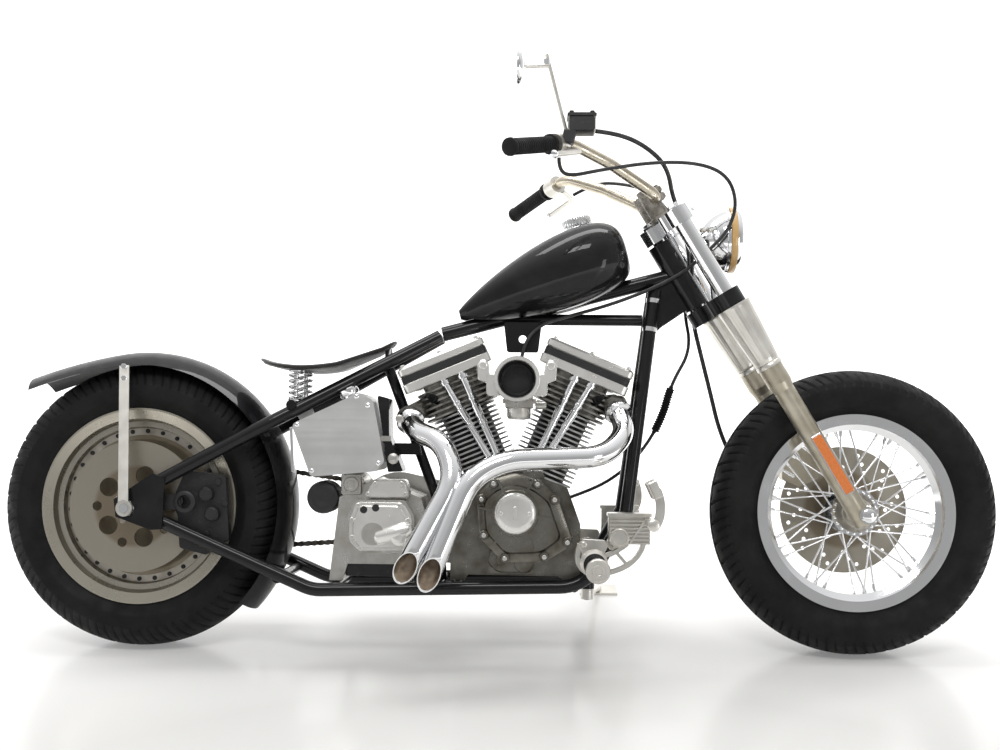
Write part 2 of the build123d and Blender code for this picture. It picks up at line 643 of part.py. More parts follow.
pieces["oil_filter"] = disc(-345 - fit_gap - 36, 345, -112, -36, 36)

# ---- tanks, seat and fender ------------------------------------------------------------
# The fuel tank: sections square to the backbone, as (u, width, bottom, top, corner).
tank_tip_x = neck_joint.X - 501.7
tank_tip_z = on_backbone(tank_tip_x) + 42.8
tank_plane = Plane(origin=(tank_tip_x, 0, tank_tip_z), x_dir=(cos(slope), 0, sin(slope)),
                   z_dir=(-sin(slope), 0, cos(slope)))
tank_sections = (
    (0, 30, -19, 2, 8),
    (100, 148, -46, 58, 48),
    (210, 232, -58, 98, 72),
    (310, 256, -52, 116, 78),
    (372, 220, -34, 108, 66),
    (402, 130, -8, 74, 38),
)
tank_faces = []
for u, width, bottom, top, corner in tank_sections:
    station = Plane(origin=tank_plane.from_local_coords((u, 0, (bottom + top) / 2)),
                    x_dir=(0, 1, 0), z_dir=tank_plane.x_dir)
    tank_faces.append(station * RectangleRounded(width, top - bottom, corner))
tank = loft(tank_faces)
tunnel_half_width = main_tube_radius + 8
tunnel_top = (on_backbone(tank_tip_x) - tank_tip_z) * cos(slope) + main_tube_radius + fit_gap
tunnel = tank_plane * Pos(200, 0, tunnel_top - 50) * Box(460, tunnel_half_width * 2, 100)
cap_u, cap_radius = 313, 31
pieces["fuel_tank"] = tank - tunnel + tank_plane * Pos(cap_u, 0, 100) * extrude(Circle(cap_radius), 40)

seat_half_width, seat_thickness = 125, 18
seat_path = ThreePointArc((seat_rail_x - 92, seat_rail_z + 113), (seat_rail_x + 54, seat_rail_z + 95),
                          (seat_rail_x + 218, seat_rail_z + 157))


def seat_band(path, thickness, rear, front):
    """A curved sheet under a side-view arc, cut to a plan of two joined circles."""
    band = make_face([path, Line(path @ 1, path @ 1 - (0, thickness)),
                      ThreePointArc(path @ 1 - (0, thickness), path @ 0.5 - (0, thickness),
                                    path @ 0 - (0, thickness)),
                      Line(path @ 0 - (0, thickness), path @ 0)])
    sheet = extrude(Plane.XZ * band, 200, both=True)
    plan = make_hull((Pos(rear[0], 0) * Circle(rear[1]) + Pos(front[0], 0) * Circle(front[1])).edges())
    return sheet & (Pos(0, 0, 500) * extrude(plan, 400))


pieces["seat"] = seat_band(seat_path, seat_thickness, (seat_rail_x + 34, seat_half_width), (seat_rail_x + 164, 56))

# The rear fender: a crowned band round the tyre, ending in a straighter tail.
fender_front_angle, fender_back_angle = -42, 100
tail_radius, tail_angle = 1100, 11


def fender_band(inner_radius, x, z, angle_from, sweep_angle):
    """The fender's crowned section, turned part of the way round an axis across the bike."""
    crown, edge = inner_radius + fender_wall, inner_radius + fender_wall - fender_drop
    section = make_face([
        ThreePointArc((-fender_half_width, edge), (0, crown), (fender_half_width, edge)),
        Line((fender_half_width, edge), (fender_half_width - fender_wall, edge)),
        ThreePointArc((fender_half_width - fender_wall, edge), (0, inner_radius),
                      (-fender_half_width + fender_wall, edge)),
        Line((-fender_half_width + fender_wall, edge), (-fender_half_width, edge)),
    ])
    start = radians(angle_from)
    outward = Vector(cos(start), 0, sin(start))
    radial = Plane(origin=(x, 0, z), x_dir=(0, 1, 0), z_dir=Vector(0, 1, 0).cross(outward))
    if radial.y_dir.dot(outward) < 0:
        radial = Plane(origin=(x, 0, z), x_dir=(0, 1, 0), z_dir=-radial.z_dir)
    return revolve(radial * section, Axis((x, 0, z), (0, -1, 0)), sweep_angle)


back = radians(fender_back_angle)
shift = tail_radius - fender_radius
fender = fender_band(fender_radius - fender_wall, rear_x, tyre_radius, fender_front_angle,
                     fender_back_angle - fender_front_angle)
fender += fender_band(tail_radius - fender_wall, rear_x - shift * cos(back), tyre_radius - shift * sin(back),
                      fender_back_angle, tail_angle)
pieces["rear_fender"] = fender

# Two springs and a hinge carry the seat, and reach just short of its underside.
seat_above = [Pos(x, 0, z) * pieces["seat"] for x, z in ((0, 0), (0, -fit_gap), (fit_gap, 0))]
spring_radius, spring_length, hinge_radius, hinge_length = 18, 88, 9, 50
seat_springs = [rod((seat_rail_x, side * 60, seat_rail_z + cross_tube_radius + fit_gap),
                    (seat_rail_x, side * 60, seat_rail_z + spring_length), spring_radius) for side in (-1, 1)]
seat_springs.append(rod((post_top[0], 0, post_top[1] + cross_tube_radius + fit_gap),
                        (post_top[0], 0, post_top[1] + hinge_length), hinge_radius))
for above in seat_above:
    seat_springs = [spring - above for spring in seat_springs]
pieces["seat_springs"] = Part() + seat_springs


def by_seat_rail(*corners):
    """(x, z) corners given from the middle of the seat's rail."""
    return [(seat_rail_x + x, seat_rail_z + z) for x, z in corners]


oil_tank = side_plate(by_seat_rail((5, -43), (154, 28), (184, 11), (211, -124), (192, -145), (49, -158)),
                      -45, 180, 12)
oil_tank += side_plate(by_seat_rail((14, -49), (-18, -1), (14, 23), (39, -33)), -10, 30)
pieces["oil_tank"] = oil_tank - disc(seat_rail_x, seat_rail_z, -118, 118, cross_tube_radius + fit_gap)
battery_box = side_plate(by_seat_rail((190, 23), (216, 16), (218, -67), (250, -145), (216, -147)),
                         -70, 80, 4)
battery_box += side_plate(by_seat_rail((224, -83), (279, -83), (284, -109), (229, -109)), -30, 40)
post_sleeve = rod((post_top[0], -10, post_top[1]), (post_knee[0], -10, post_knee[1]), post_radius + fit_gap)
battery_box -= Pos(post_top[0], 40, post_top[1] - 120) * Box(300, 100, 300)
pieces["battery_box"] = battery_box - post_sleeve


def fender_strut(side):
    """A flat bar from the fender's side down to the axle's end."""
    top, foot = (rear_x - 33, tyre_radius + fender_radius - 36), (rear_x - 2, tyre_radius + axle_radius + 2)
    eye_from, eye_to = axle_collar_end + fit_gap, axle_collar_end + fit_gap + 8
    y_top, y_foot = side * (fender_half_width + 3), side * (eye_from + 4.5)
    run = Vector(foot[0] - top[0], y_foot - y_top, foot[1] - top[1])
    face = Plane(origin=(top[0], y_top, top[1]), x_dir=(1, 0, 0), z_dir=run) * Rectangle(22, 5)
    eye = disc(rear_x, tyre_radius, side * eye_from, side * eye_to, 18)
    return extrude(face, run.length) + eye - disc(rear_x, tyre_radius, -200, 200, axle_radius + fit_gap)


pieces["fender_struts"] = pair(fender_strut)

# ---- brakes -------------------------------------------------------------------------
caliper_disc_gap = 2


def disc_slot(x, disc_y):
    """The room that a brake disc needs inside its caliper."""
    half = disc_thickness / 2 + caliper_disc_gap
    return disc(x, tyre_radius, disc_y - half, disc_y + half, disc_radius + moving_gap)


rear_caliper = side_plate([at_rear(115, 82), at_rear(205, 70), at_rear(215, -70), at_rear(165, -105),
                           at_rear(105, -90), at_rear(100, -20), at_rear(85, 10)], rear_disc_y + 1.5, 25, 8)
rear_caliper -= disc_slot(rear_x, rear_disc_y)
bracket_y = -stay_half_spacing + 3
rear_caliper += side_plate([at_rear(0, -16), at_rear(0, 22), at_rear(105, 30), at_rear(115, -2)], bracket_y, 8)
rear_caliper += disc(rear_x, tyre_radius, -axle_plate_outer + plate_thickness + fit_gap, bracket_y, 26)
rear_caliper += disc(*at_rear(99, 14), bracket_y, rear_disc_y - 11, 16)
pieces["rear_brake_caliper"] = rear_caliper - disc(rear_x, tyre_radius, -200, 0, axle_collar_radius + fit_gap)
front_caliper = side_plate([at_front(-137, 150), at_front(-63, 142), at_front(-60, 72), at_front(-105, 52),
                            at_front(-145, 70)], front_disc_y + 0.4, 36.6, 8)
pieces["front_brake_caliper"] = front_caliper - disc_slot(front_x, front_disc_y)

# ---- controls -----------------------------------------------------------------------
bar_radius = 12.7
bar_x, bar_middle_y, bar_z = on_fork(35.27, 92, 836.74)


def at_bar(x, y, z):
    """A point behind the bar's middle, to the left and above it."""
    return (bar_x + x, y, bar_z + z)


bar_points = [at_bar(-322, 380, 40), at_bar(-195, 185, 95), at_bar(-103, 140, 58), at_bar(0, bar_middle_y, 0)]
bar_bends = [70, 150, 40]
right_half = [(x, -y, z) for x, y, z in bar_points]
pieces["handlebar"] = bent_tube(right_half + bar_points[::-1], bar_bends + bar_bends[::-1], bar_radius)
riser_y, riser_radius, riser_top = 44, 21, 866
pieces["grips"] = pair(lambda side: rod(
    at_bar(-322, side * 380, 40), at_bar(-234, side * 245, 78), 17, bar_radius + fit_gap))
pieces["handlebar_risers"] = pair(lambda side: rod(
    on_fork(27, side * riser_y, top_clamp_top + fit_gap), on_fork(27, side * riser_y, riser_top), riser_radius)
    - rod(at_bar(0, -90, 0), at_bar(0, 90, 0), bar_radius + fit_gap))

lamp_radius = 73
lamp_x, lamp_y, lamp_z = on_fork(150.38, 0, 667.25)
headlamp_edges = [
    Line((0, 0), (0, 22)),
    ThreePointArc((0, 22), (30, 56), (76, lamp_radius)),
    Line((76, lamp_radius), (84, lamp_radius)),
    Line((84, lamp_radius), (84, 0)),
    Line((84, 0), (0, 0)),
]
lamp_plane = Plane(origin=(lamp_x - 84, 0, lamp_z), x_dir=(1, 0, 0), z_dir=(0, -1, 0))
headlamp = revolve(lamp_plane * make_face(headlamp_edges), Axis((0, 0, lamp_z), (1, 0, 0)))
headlamp += rod((lamp_x - 1, 0, lamp_z), (lamp_x + 10, 0, lamp_z), lamp_radius - 3)
headlamp += rod((lamp_x - 52, 0, lamp_z - 30), on_fork(46, 0, lower_clamp_top + fit_gap), 10)
pieces["headlamp"] = headlamp - pieces["fork_lower_clamp"]


def reservoir_box(side):
    """The fluid reservoir that stands on the right perch."""
    return Pos(*at_bar(-172, side * 220, 126)) * Box(57, 50, 36)


def hand_control(side):
    """A clamp round the bar, a lever ahead of the grip and, at the right, a reservoir and mirror."""
    clamp = rod(at_bar(-231.4, side * 241, 79), at_bar(-213, side * 212.7, 87), 22)
    clamp -= rod(at_bar(-234, side * 245, 78), at_bar(-195, side * 185, 95), bar_radius + fit_gap)
    lever = bent_tube([at_bar(-202, side * 222, 72), at_bar(-176, side * 262, 58),
                       at_bar(-232, side * 350, 32)], 20, 6)
    control = clamp + lever
    if side < 0:
        control += reservoir_box(side)
        control += rod(at_bar(-204, side * 225, 106), at_bar(-248, side * 240, 272), 4)
        control += rod(at_bar(-244, side * 238, 248), at_bar(-302, side * 279, 234), 4)
        control += Pos(*at_bar(-306, side * 282, 233)) * Rot(Y=90) * Cylinder(38, 7)
        control += rod(at_bar(-206, side * 222, 106), at_bar(-184, side * 222, 120), 9)
    return control


pieces["hand_controls"] = pair(hand_control)


def foot_control(side):
    """A footpeg and pedal on a bracket from the cradle."""
    peg = disc(214, 214, side * 128, side * 330, 22)
    bracket = side_plate([(180, 190), (245, 190), (330, 262), (335, 320), (250, 320), (180, 262)],
                         side * 150, 44, 8)
    arm = bent_tube([(214, side * 190, 205), (292, side * 262, 250), (331, side * 280, 372)], 30, 9)
    pad = Pos(331, side * 280, 378) * Rot(Y=-25) * Box(18, 70, 36)
    lug = disc(258, 252, side * 80, side * 130, 14)
    return peg + bracket + arm + pad + (lug - cradle_rail(side))


pieces["foot_controls"] = pair(foot_control)

# ---- cables and hoses ----------------------------------------------------------------


def cable(name, points, radius):
    """A cable or hose: each corner's arc is as large as its two runs allow."""
    corners = [Vector(*p) for p in points]
    bends = []
    for a, b, c in zip(corners, corners[1:], corners[2:]):
        turn = radians((b - a).get_angle(c - b))
        bends.append(0.45 * min((b - a).length, (c - b).length) / tan(turn / 2))
    solid = bent_tube(points, bends, radius)
    print(name, "bend radii", [round(b) for b in bends], "volume over section x length",
          round(solid.volume / (pi * radius**2 * FilletPolyline(*points, radius=bends).length), 4))
    return solid


pieces["front_brake_hose"] = cable("front_brake_hose", [
    (210.8, -205, 1140), (262, -184, 1140), (325, -150, 1120), (376, -108, 1084), on_fork(70, -50, 812),
    on_fork(70, -34, 740), on_fork(56, 40, 680), on_fork(20, 48, 625), on_fork(-16, 46, 560),
    on_fork(-44, 46, 470), on_fork(-66, 62, 390), on_fork(-92, 80, 300), on_fork(-100, 82, 215),
    on_fork(-64, 84, 158), (659.6, 86, 418)], 5)
pieces["throttle_cable"] = cable("throttle_cable", [
    (132, -224, 1078), (132, -222, 1052), (156, -214, 1040), (221, -200, 1057), (340, -160, 1084),
    (446, -120, 1091), (510, -100, 1068), (532, -94, 1010), (516, -90, 950), (474, -84, 905),
    on_fork(18, -66, 660), on_fork(-34, -56, 660), (330, -44, 812), (250, -40, 782), (160, -44, 756),
    (96, -70, 736), (58, -84, 690), (52, -84, 640.4)], 4)
pieces["clutch_cable"] = cable("clutch_cable", [
    (178, 222, 1086), (230, 200, 1112), (296, 150, 1100), (356, 104, 1074), on_fork(74, 72, 800),
    on_fork(72, 66, 720), on_fork(34, 70, 650), on_fork(-18, 72, 590), on_fork(-50, 66, 500),
    (404, 60, 610), (384, 66, 530), (340, 90, 450), (276, 112, 386), (196, 130, 346), (98.2, 139, 313.4)], 4)

# ---- side stand ----------------------------------------------------------------------
stand_leg_radius = 9


def leaned(point):
    """A point of the upright bike, after the bike is leaned onto its stand."""
    x, y, z = point
    a = radians(lean)
    lift = tyre_crown_radius * (1 - cos(a))
    return (x, y * cos(a) + z * sin(a), -y * sin(a) + z * cos(a) + lift)


lean_over = Pos(0, 0, tyre_crown_radius * (1 - cos(radians(lean)))) * Rot(X=-lean)
stand_foot = (253, 392)
foot_thickness = 6
pivot_at = leaned(stand_pivot)
stand_leg = rod(pivot_at, (stand_foot[0], stand_foot[1], foot_thickness + 4), stand_leg_radius)
stand_leg += Pos(stand_foot[0], stand_foot[1], foot_thickness / 2) * Box(96, 66, foot_thickness)
stand_leg -= Pos(0, 0, -50) * Box(2000, 2000, 100)
hub_ends = [(*stand_pivot[:2], stand_pivot[2] + end * stand_hub_height / 2) for end in (-1, 1)]
stand_bore = [(*stand_pivot[:2], stand_pivot[2] + end * 40) for end in (-1, 1)]
pieces["side_stand"] = (lean_over.inverse() * stand_leg + rod(*hub_ends, stand_hub_radius)
                        - rod(*stand_bore, stand_pin_radius + bearing_gap))

# ---- out to the files ----------------------------------------------------------------
origin_y = 171  # the middle of the leaned bike's width
to_row = Pos(0, -origin_y, 0) * lean_over
if __name__ == "__main__":
    os.makedirs("parts", exist_ok=True)
    for name, piece in pieces.items():
        export_step(to_row * piece, f"parts/{name}.step")
    print(len(pieces), "pieces")
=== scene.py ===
from math import cos, pi, radians, sin, sqrt

import bmesh
import bpy
import numpy as np
from mathutils import Matrix, Vector


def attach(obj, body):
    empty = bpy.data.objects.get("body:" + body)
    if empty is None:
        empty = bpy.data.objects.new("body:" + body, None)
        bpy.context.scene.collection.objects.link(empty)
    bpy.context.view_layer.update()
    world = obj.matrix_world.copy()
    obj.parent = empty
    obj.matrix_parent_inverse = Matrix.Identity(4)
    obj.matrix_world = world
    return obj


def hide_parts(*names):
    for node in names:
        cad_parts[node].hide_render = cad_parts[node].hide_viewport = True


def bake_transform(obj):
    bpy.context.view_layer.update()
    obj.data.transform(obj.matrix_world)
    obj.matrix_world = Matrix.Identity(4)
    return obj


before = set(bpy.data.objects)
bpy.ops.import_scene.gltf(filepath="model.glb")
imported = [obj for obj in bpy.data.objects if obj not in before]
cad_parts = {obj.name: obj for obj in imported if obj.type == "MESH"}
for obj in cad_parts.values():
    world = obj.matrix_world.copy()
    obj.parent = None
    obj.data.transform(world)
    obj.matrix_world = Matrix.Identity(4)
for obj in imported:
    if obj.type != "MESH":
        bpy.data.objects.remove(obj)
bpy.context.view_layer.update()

# ---- Stance ------------------------------------------------------------------------
# The bike is drawn upright, in millimetres, with the origin on the floor line midway
# between its axles. It is then leaned to its left until the side stand's foot is down,
# and rises a little as its tyres roll over on their crowns.
lean, lean_shift, crown_radius = radians(13), 171, 80
lean_rise = crown_radius * (1 - cos(lean))


def stood(points):
    """Points of the upright bike where it stands: turned about X by the lean, shifted, in metres."""
    x, y, z = np.moveaxis(np.asarray(points, float), -1, 0)
    return np.stack([x, y * cos(lean) + z * sin(lean) - lean_shift,
                     z * cos(lean) - y * sin(lean) + lean_rise], -1) / 1000


# ---- Camera ------------------------------------------------------------------------
# It stands level with the engine, square to the bike's right-hand side, and shares the
# bike's lean but for a few degrees.
camera_at, camera_yaw, camera_pitch, camera_roll = (78, -2800, 487), 1.5, 2.8, 0.53
camera = bpy.data.objects.new("camera", bpy.data.cameras.new("camera"))
camera.data.sensor_width, camera.data.lens = 36, 43.9
aim = (Matrix.Rotation(-lean, 4, "X") @ Matrix.Rotation(radians(camera_yaw), 4, "Z")
       @ Matrix.Rotation(radians(camera_pitch), 4, "X") @ Matrix.Rotation(radians(-camera_roll), 4, "Y")
       @ Matrix.Rotation(pi / 2, 4, "X"))
camera.matrix_world = Matrix.Translation(stood(camera_at)) @ aim
bpy.context.collection.objects.link(camera)
bpy.context.scene.camera = camera


# ---- Studio floor, wall and light ----------------------------------------------------
# A pale painted floor runs up into a wall in one sweep. Soft boxes hang over the bike and
# stand before it, and the room is white behind the bike and greyer behind the camera.
class Wire:
    """An output socket of a material. Arithmetic on it adds Math nodes to the material."""

    def __init__(self, socket):
        self.socket = socket

    def node(self, kind, sockets, output=0, **settings):
        """Adds a node: its settings first, then a number, colour or Wire for each socket."""
        tree = self.socket.id_data
        made = tree.nodes.new("ShaderNode" + kind)
        for name, value in settings.items():
            setattr(made, name, value)
        for name, value in sockets.items():
            if isinstance(value, Wire):
                tree.links.new(value.socket, made.inputs[name])
            else:
                made.inputs[name].default_value = value
        return Wire(made.outputs[output])

    def math(self, operation, first, second=0.5):
        """A Math node on two values, of which the operation may use only the first."""
        return self.node("Math", {0: first, 1: second}, operation=operation)

    def __add__(self, other):
        return self.math("ADD", self, other)

    def __sub__(self, other):
        return self.math("SUBTRACT", self, other)

    def __rsub__(self, other):
        return self.math("SUBTRACT", other, self)

    def __mul__(self, other):
        return self.math("MULTIPLY", self, other)

    __radd__, __rmul__ = __add__, __mul__

    def root(self):
        """Its square root."""
        return self.math("SQRT", self)

    def part(self, axis):
        """The X, Y or Z of this vector."""
        return self.node("SeparateXYZ", {"Vector": self}, output=axis)

    def rising(self, low, high, least=0, most=1):
        """This value stretched, so that it goes from least to most as it goes from low to high."""
        return self.node("MapRange", {"Value": self, "From Min": low, "From Max": high,
                                      "To Min": least, "To Max": most})

    def noise(self, scale, detail=3, low=0.35, high=0.65):
        """A cloud of 0 to 1 over the piece, scale being clumps to a metre, stretched between low and high."""
        return self.node("TexNoise", {"Vector": self, "Scale": scale, "Detail": detail}).rising(low, high)

    def between(self, first, second):
        """A colour that goes from first to second as this goes from 0 to 1."""
        first, second = (shade if isinstance(shade, Wire) else (*shade, 1) for shade in (first, second))
        return self.node("Mix", {"Factor": self, 6: first, 7: second}, output=2, data_type="RGBA")

    def bump(self, strength, depth=0.001):
        """A normal bent by this height, depth being its size in metres."""
        return self.node("Bump", {"Height": self, "Strength": strength, "Distance": depth})


def material(name, look):
    """A material whose surface takes the sockets that look(place) gives, place being Object coordinates."""
    made = bpy.data.materials.new(name)
    made.use_nodes = True
    tree = made.node_tree
    tree.nodes.clear()
    place = Wire(tree.nodes.new("ShaderNodeTexCoord").outputs["Object"])
    surface = place.node("BsdfPrincipled", look(place))
    tree.links.new(surface.socket, tree.nodes.new("ShaderNodeOutputMaterial").inputs["Surface"])
    return made


def grid_faces(rows, columns, closed=True, looped=False, capped=False):
    """Quads of a grid of points, row by row. Closed joins the last column to the first, looped the
    last row to the first, and capped puts a face over the first row and one over the last."""
    r, c = np.meshgrid(np.arange(rows - (not looped)), np.arange(columns - (not closed)), indexing="ij")
    after, beside = (r + 1) % rows * columns, (c + 1) % columns
    quads = np.stack([r * columns + c, r * columns + beside, after + beside, after + c], -1)
    quads = quads.reshape(-1, 4).tolist()
    if capped:
        quads += [list(range(columns))[::-1], list(range((rows - 1) * columns, rows * columns))]
    return quads


def mesh_piece(name, points, faces, finish, sharp=40):
    """An object from points already in place, in metres, smooth but for edges over `sharp` degrees."""
    mesh = bpy.data.meshes.new(name)
    mesh.from_pydata(np.asarray(points).reshape(-1, 3).tolist(), [], faces)
    shell = bmesh.new()
    shell.from_mesh(mesh)
    bmesh.ops.recalc_face_normals(shell, faces=shell.faces)
    shell.to_mesh(mesh)
    shell.free()
    mesh.materials.append(finish)
    mesh.shade_smooth()
    mesh.set_sharp_from_angle(angle=radians(sharp))
    made = bpy.data.objects.new(name, mesh)
    bpy.context.collection.objects.link(made)
    return made


def pale_floor(place):
    """White paint with a faint sheen. It glows more the higher up it is, a painted glow that stands in for
    the light a lit wall bounces, and where it is seen, also in metal, it grows white away from a place before
    the bike."""
    # painted glow: the backdrop's emission rises with height, standing in for light that a lit wall would
    # bounce
    painted_wall_glow = place.part("Z").rising(0, 1.2, 0.05, 0.6)
    away = place.node("VectorMath", {0: place, 1: (0.1, -1.6, 0)}, output="Value", operation="DISTANCE")
    white = away.rising(1.25, 3.2)
    camera_ray, glossy_ray, transmission_ray = (place.node("LightPath", {}, output=f"Is {kind} Ray")
                                                for kind in ("Camera", "Glossy", "Transmission"))
    seen = camera_ray + glossy_ray + transmission_ray
    seen = seen.math("MINIMUM", seen, 1)
    glow = painted_wall_glow + seen * (white - painted_wall_glow)
    return {"Base Color": (0.70, 0.695, 0.68, 1), "Roughness": 0.2 + place.noise(40) * 0.03,
            "Emission Color": glow.between((0, 0, 0), (1, 1, 1)), "Emission Strength": 1.0}


turns = np.linspace(0, pi / 2, 24)
sweep_radius, floor_from, wall_at, wall_height, half_room = 4, -9, 9, 9, 14  # in metres
reach = np.concatenate([[floor_from], wall_at - sweep_radius + sweep_radius * np.sin(turns), [wall_at]])
height = np.concatenate([[0], sweep_radius - sweep_radius * np.cos(turns), [wall_height]])
sweep = np.stack([np.broadcast_to(v, (len(reach), 2)) for v in (
    np.array([[-half_room, half_room]]), reach[:, None], height[:, None])], -1)
sweep_faces = grid_faces(len(reach), 2, closed=False)
mesh_piece("backdrop", sweep, sweep_faces, material("pale_floor", pale_floor))


def soft_box(name, at, towards, width, height, power):
    """A white area lamp that faces a point, both given for the room, in metres."""
    lamp = bpy.data.objects.new(name, bpy.data.lights.new(name, "AREA"))
    lamp.data.shape, lamp.data.size, lamp.data.size_y, lamp.data.energy = "RECTANGLE", width, height, power
    turn = (Vector(at) - Vector(towards)).to_track_quat("Z", "Y").to_matrix().to_4x4()
    lamp.matrix_world, lamp.visible_camera = Matrix.Translation(at) @ turn, False
    bpy.context.collection.objects.link(lamp)


soft_box("overhead_box", (-0.1, 0.5, 3.2), (0, 0, 0.4), 3.2, 0.7, 55)
soft_box("front_box", (-0.4, -2.7, 4.2), (0, 0, 0.5), 2.2, 0.9, 60)
soft_box("low_box", (2.6, -2.9, 0.9), (0.2, 0, 0.4), 0.5, 1.5, 10)

room = bpy.data.worlds.new("studio_room")
bpy.context.scene.world = room
room.use_nodes = True
room.node_tree.nodes.clear()
way = Wire(room.node_tree.nodes.new("ShaderNodeTexCoord").outputs["Generated"])
across, upward = way.part("Y"), way.part("Z")
behind, above = across.rising(-0.6, 0.3, 0.38, 0.75), upward.rising(0.35, 0.9, 0, 0.35)
seen = way.node("LightPath", {}, output="Is Camera Ray")
sky = way.node("Background", {"Color": (1, 1, 1, 1), "Strength": seen + (1 - seen) * (behind + above)})
room.node_tree.links.new(sky.socket, room.node_tree.nodes.new("ShaderNodeOutputWorld").inputs["Surface"])
bpy.context.scene.view_settings.view_transform = "Standard"


# ---- Frame -------------------------------------------------------------------------
# Steel tube, welded and painted gloss black: the neck, backbone and brace, the stays, the
# cradle and the cross tubes. Two chrome bands hold a cable to the right down tube.
def dress(finish, *nodes):
    """Puts one finish on whole CAD nodes."""
    for node in nodes:
        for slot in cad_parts[node].material_slots:
            slot.material = finish


def turned(profile, centre, axis, count=32):
    """A profile of (along, radius) pairs turned about an axis: each point is the centre plus along
    times the axis plus radius times a direction that goes round the axis."""
    axis = np.array(axis, float) / np.linalg.norm(axis)
    first = np.cross(axis, (0, 0, 1) if abs(axis[2]) < 0.9 else (1, 0, 0))
    first /= np.linalg.norm(first)
    angle = np.linspace(0, 2 * pi, count, endpoint=False)[:, None]
    around = np.cos(angle) * first + np.sin(angle) * np.cross(axis, first)
    along, radius = np.array(profile, float).T[..., None, None]
    return np.array(centre) + along * axis + radius * around


def solid_of_turning(profile, centre, axis, count=32):
    """Points and faces of a turned profile, closed at both ends."""
    return turned(profile, centre, axis, count), grid_faces(len(profile), count, capped=True)


def ring_of_turning(profile, centre, axis, count=48):
    """Points and faces of a turned profile that closes on itself, such as a washer or a band."""
    return turned(profile, centre, axis, count), grid_faces(len(profile), count, looped=True)


def joined(name, parts, finish, body, slot, *stands_for, sharp=40):
    """One piece from several (points, faces) parts in upright millimetres, riding on a body."""
    points, faces, start = [], [], 0
    for more, its_faces in parts:
        more = np.asarray(more, float).reshape(-1, 3)
        points.append(more)
        faces += [[corner + start for corner in face] for face in its_faces]
        start += len(more)
    piece = mesh_piece(name, stood(np.concatenate(points)), faces, finish, sharp)
    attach(piece, body)
    if stands_for:
        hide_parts(*stands_for)
    return piece


def slab(outline, y_from, y_to, edge=1.5):
    """A plate standing along the bike with chamfered edges: its (x, z) outline, drawn anticlockwise as
    seen from the right, is shrunk by `edge` towards its middle at both faces."""
    outline = np.array(outline, float)
    middle = outline.mean(0)
    shrunk = outline + (middle - outline) * edge / np.linalg.norm(outline - middle, axis=1, keepdims=True)
    low, high = min(y_from, y_to), max(y_from, y_to)
    rows = [(shrunk, high), (outline, high - edge), (outline, low + edge), (shrunk, low)]
    points = np.stack([np.insert(corners, 1, y, axis=1) for corners, y in rows])
    return points, grid_faces(4, len(outline), capped=True)


def leaning(t, start, corner, end):
    """The quadratic curve from start to end that leans on a corner, at the shares t of its way."""
    return (1 - t) ** 2 * start + 2 * t * (1 - t) * corner + t**2 * end


def rounded(corners, radius, steps=5):
    """An outline whose corners are arcs: at each, points on a quadratic curve between the two
    points that lie `radius` away along its edges."""
    corners = np.array(corners, float)
    before, after = np.roll(corners, 1, 0), np.roll(corners, -1, 0)
    entry = corners + (before - corners) * radius / np.linalg.norm(before - corners, axis=1, keepdims=True)
    leaving = corners + (after - corners) * radius / np.linalg.norm(after - corners, axis=1, keepdims=True)
    t = np.linspace(0, 1, steps)[None, :, None]
    return leaning(t, entry[:, None], corners[:, None], leaving[:, None]).reshape(-1, 2)


def black_paint(place):
    """Black lacquer: a faint orange peel, and a thin film of dust in patches."""
    return {"Base Color": place.noise(14, 5, 0.5, 0.75).between((0.006, 0.006, 0.007), (0.014, 0.014, 0.015)),
            "Roughness": 0.4 + place.noise(40) * 0.15, "Specular IOR Level": 0.1, "Coat Weight": 0.5,
            "Coat Roughness": 0.03, "Normal": place.noise(260, 2).bump(0.05)}


def bright_steel(place):
    """Chrome on steel, with faint smears that dull it and a very slight ripple."""
    return {"Base Color": (0.86, 0.865, 0.875, 1), "Metallic": 1,
            "Roughness": 0.05 + place.noise(22, 5) * 0.09, "Normal": place.noise(30, 1).bump(0.05)}


gloss_black = material("gloss_black", black_paint)
chrome = material("chrome", bright_steel)
dress(gloss_black, "frame_backbone", "frame_upper_stays", "frame_down_tubes", "frame_cradle_rails",
      "frame_cross_members", "fork_lower_clamp", "battery_box")

down_tube_low, down_tube_high = np.array((290, -72, 317)), np.array((356, -26, 818))
down_run = down_tube_high - down_tube_low
band = [(-5, 15.2), (-5, 16.4), (5, 16.4), (5, 15.2)]
bands = [ring_of_turning(band, down_tube_low + down_run * share, down_run) for share in (0.82, 0.95)]
joined("tube_bands", bands, chrome, "chassis", "chrome")

# ---- Tyres -------------------------------------------------------------------------
# Road tyres of black rubber. The tread is moulded with slanting grooves that start beside
# a wavy pair round the crown, and the sidewalls carry a rim guard and two fine ribs.
tyre_radius, rear_axle_x, front_axle_x = 320, -805, 805
bead_radius, rim_guard_radius, upper_rib_radius, groove_depth, groove_half_width = 203.4, 236, 285, 4.5, 3.4


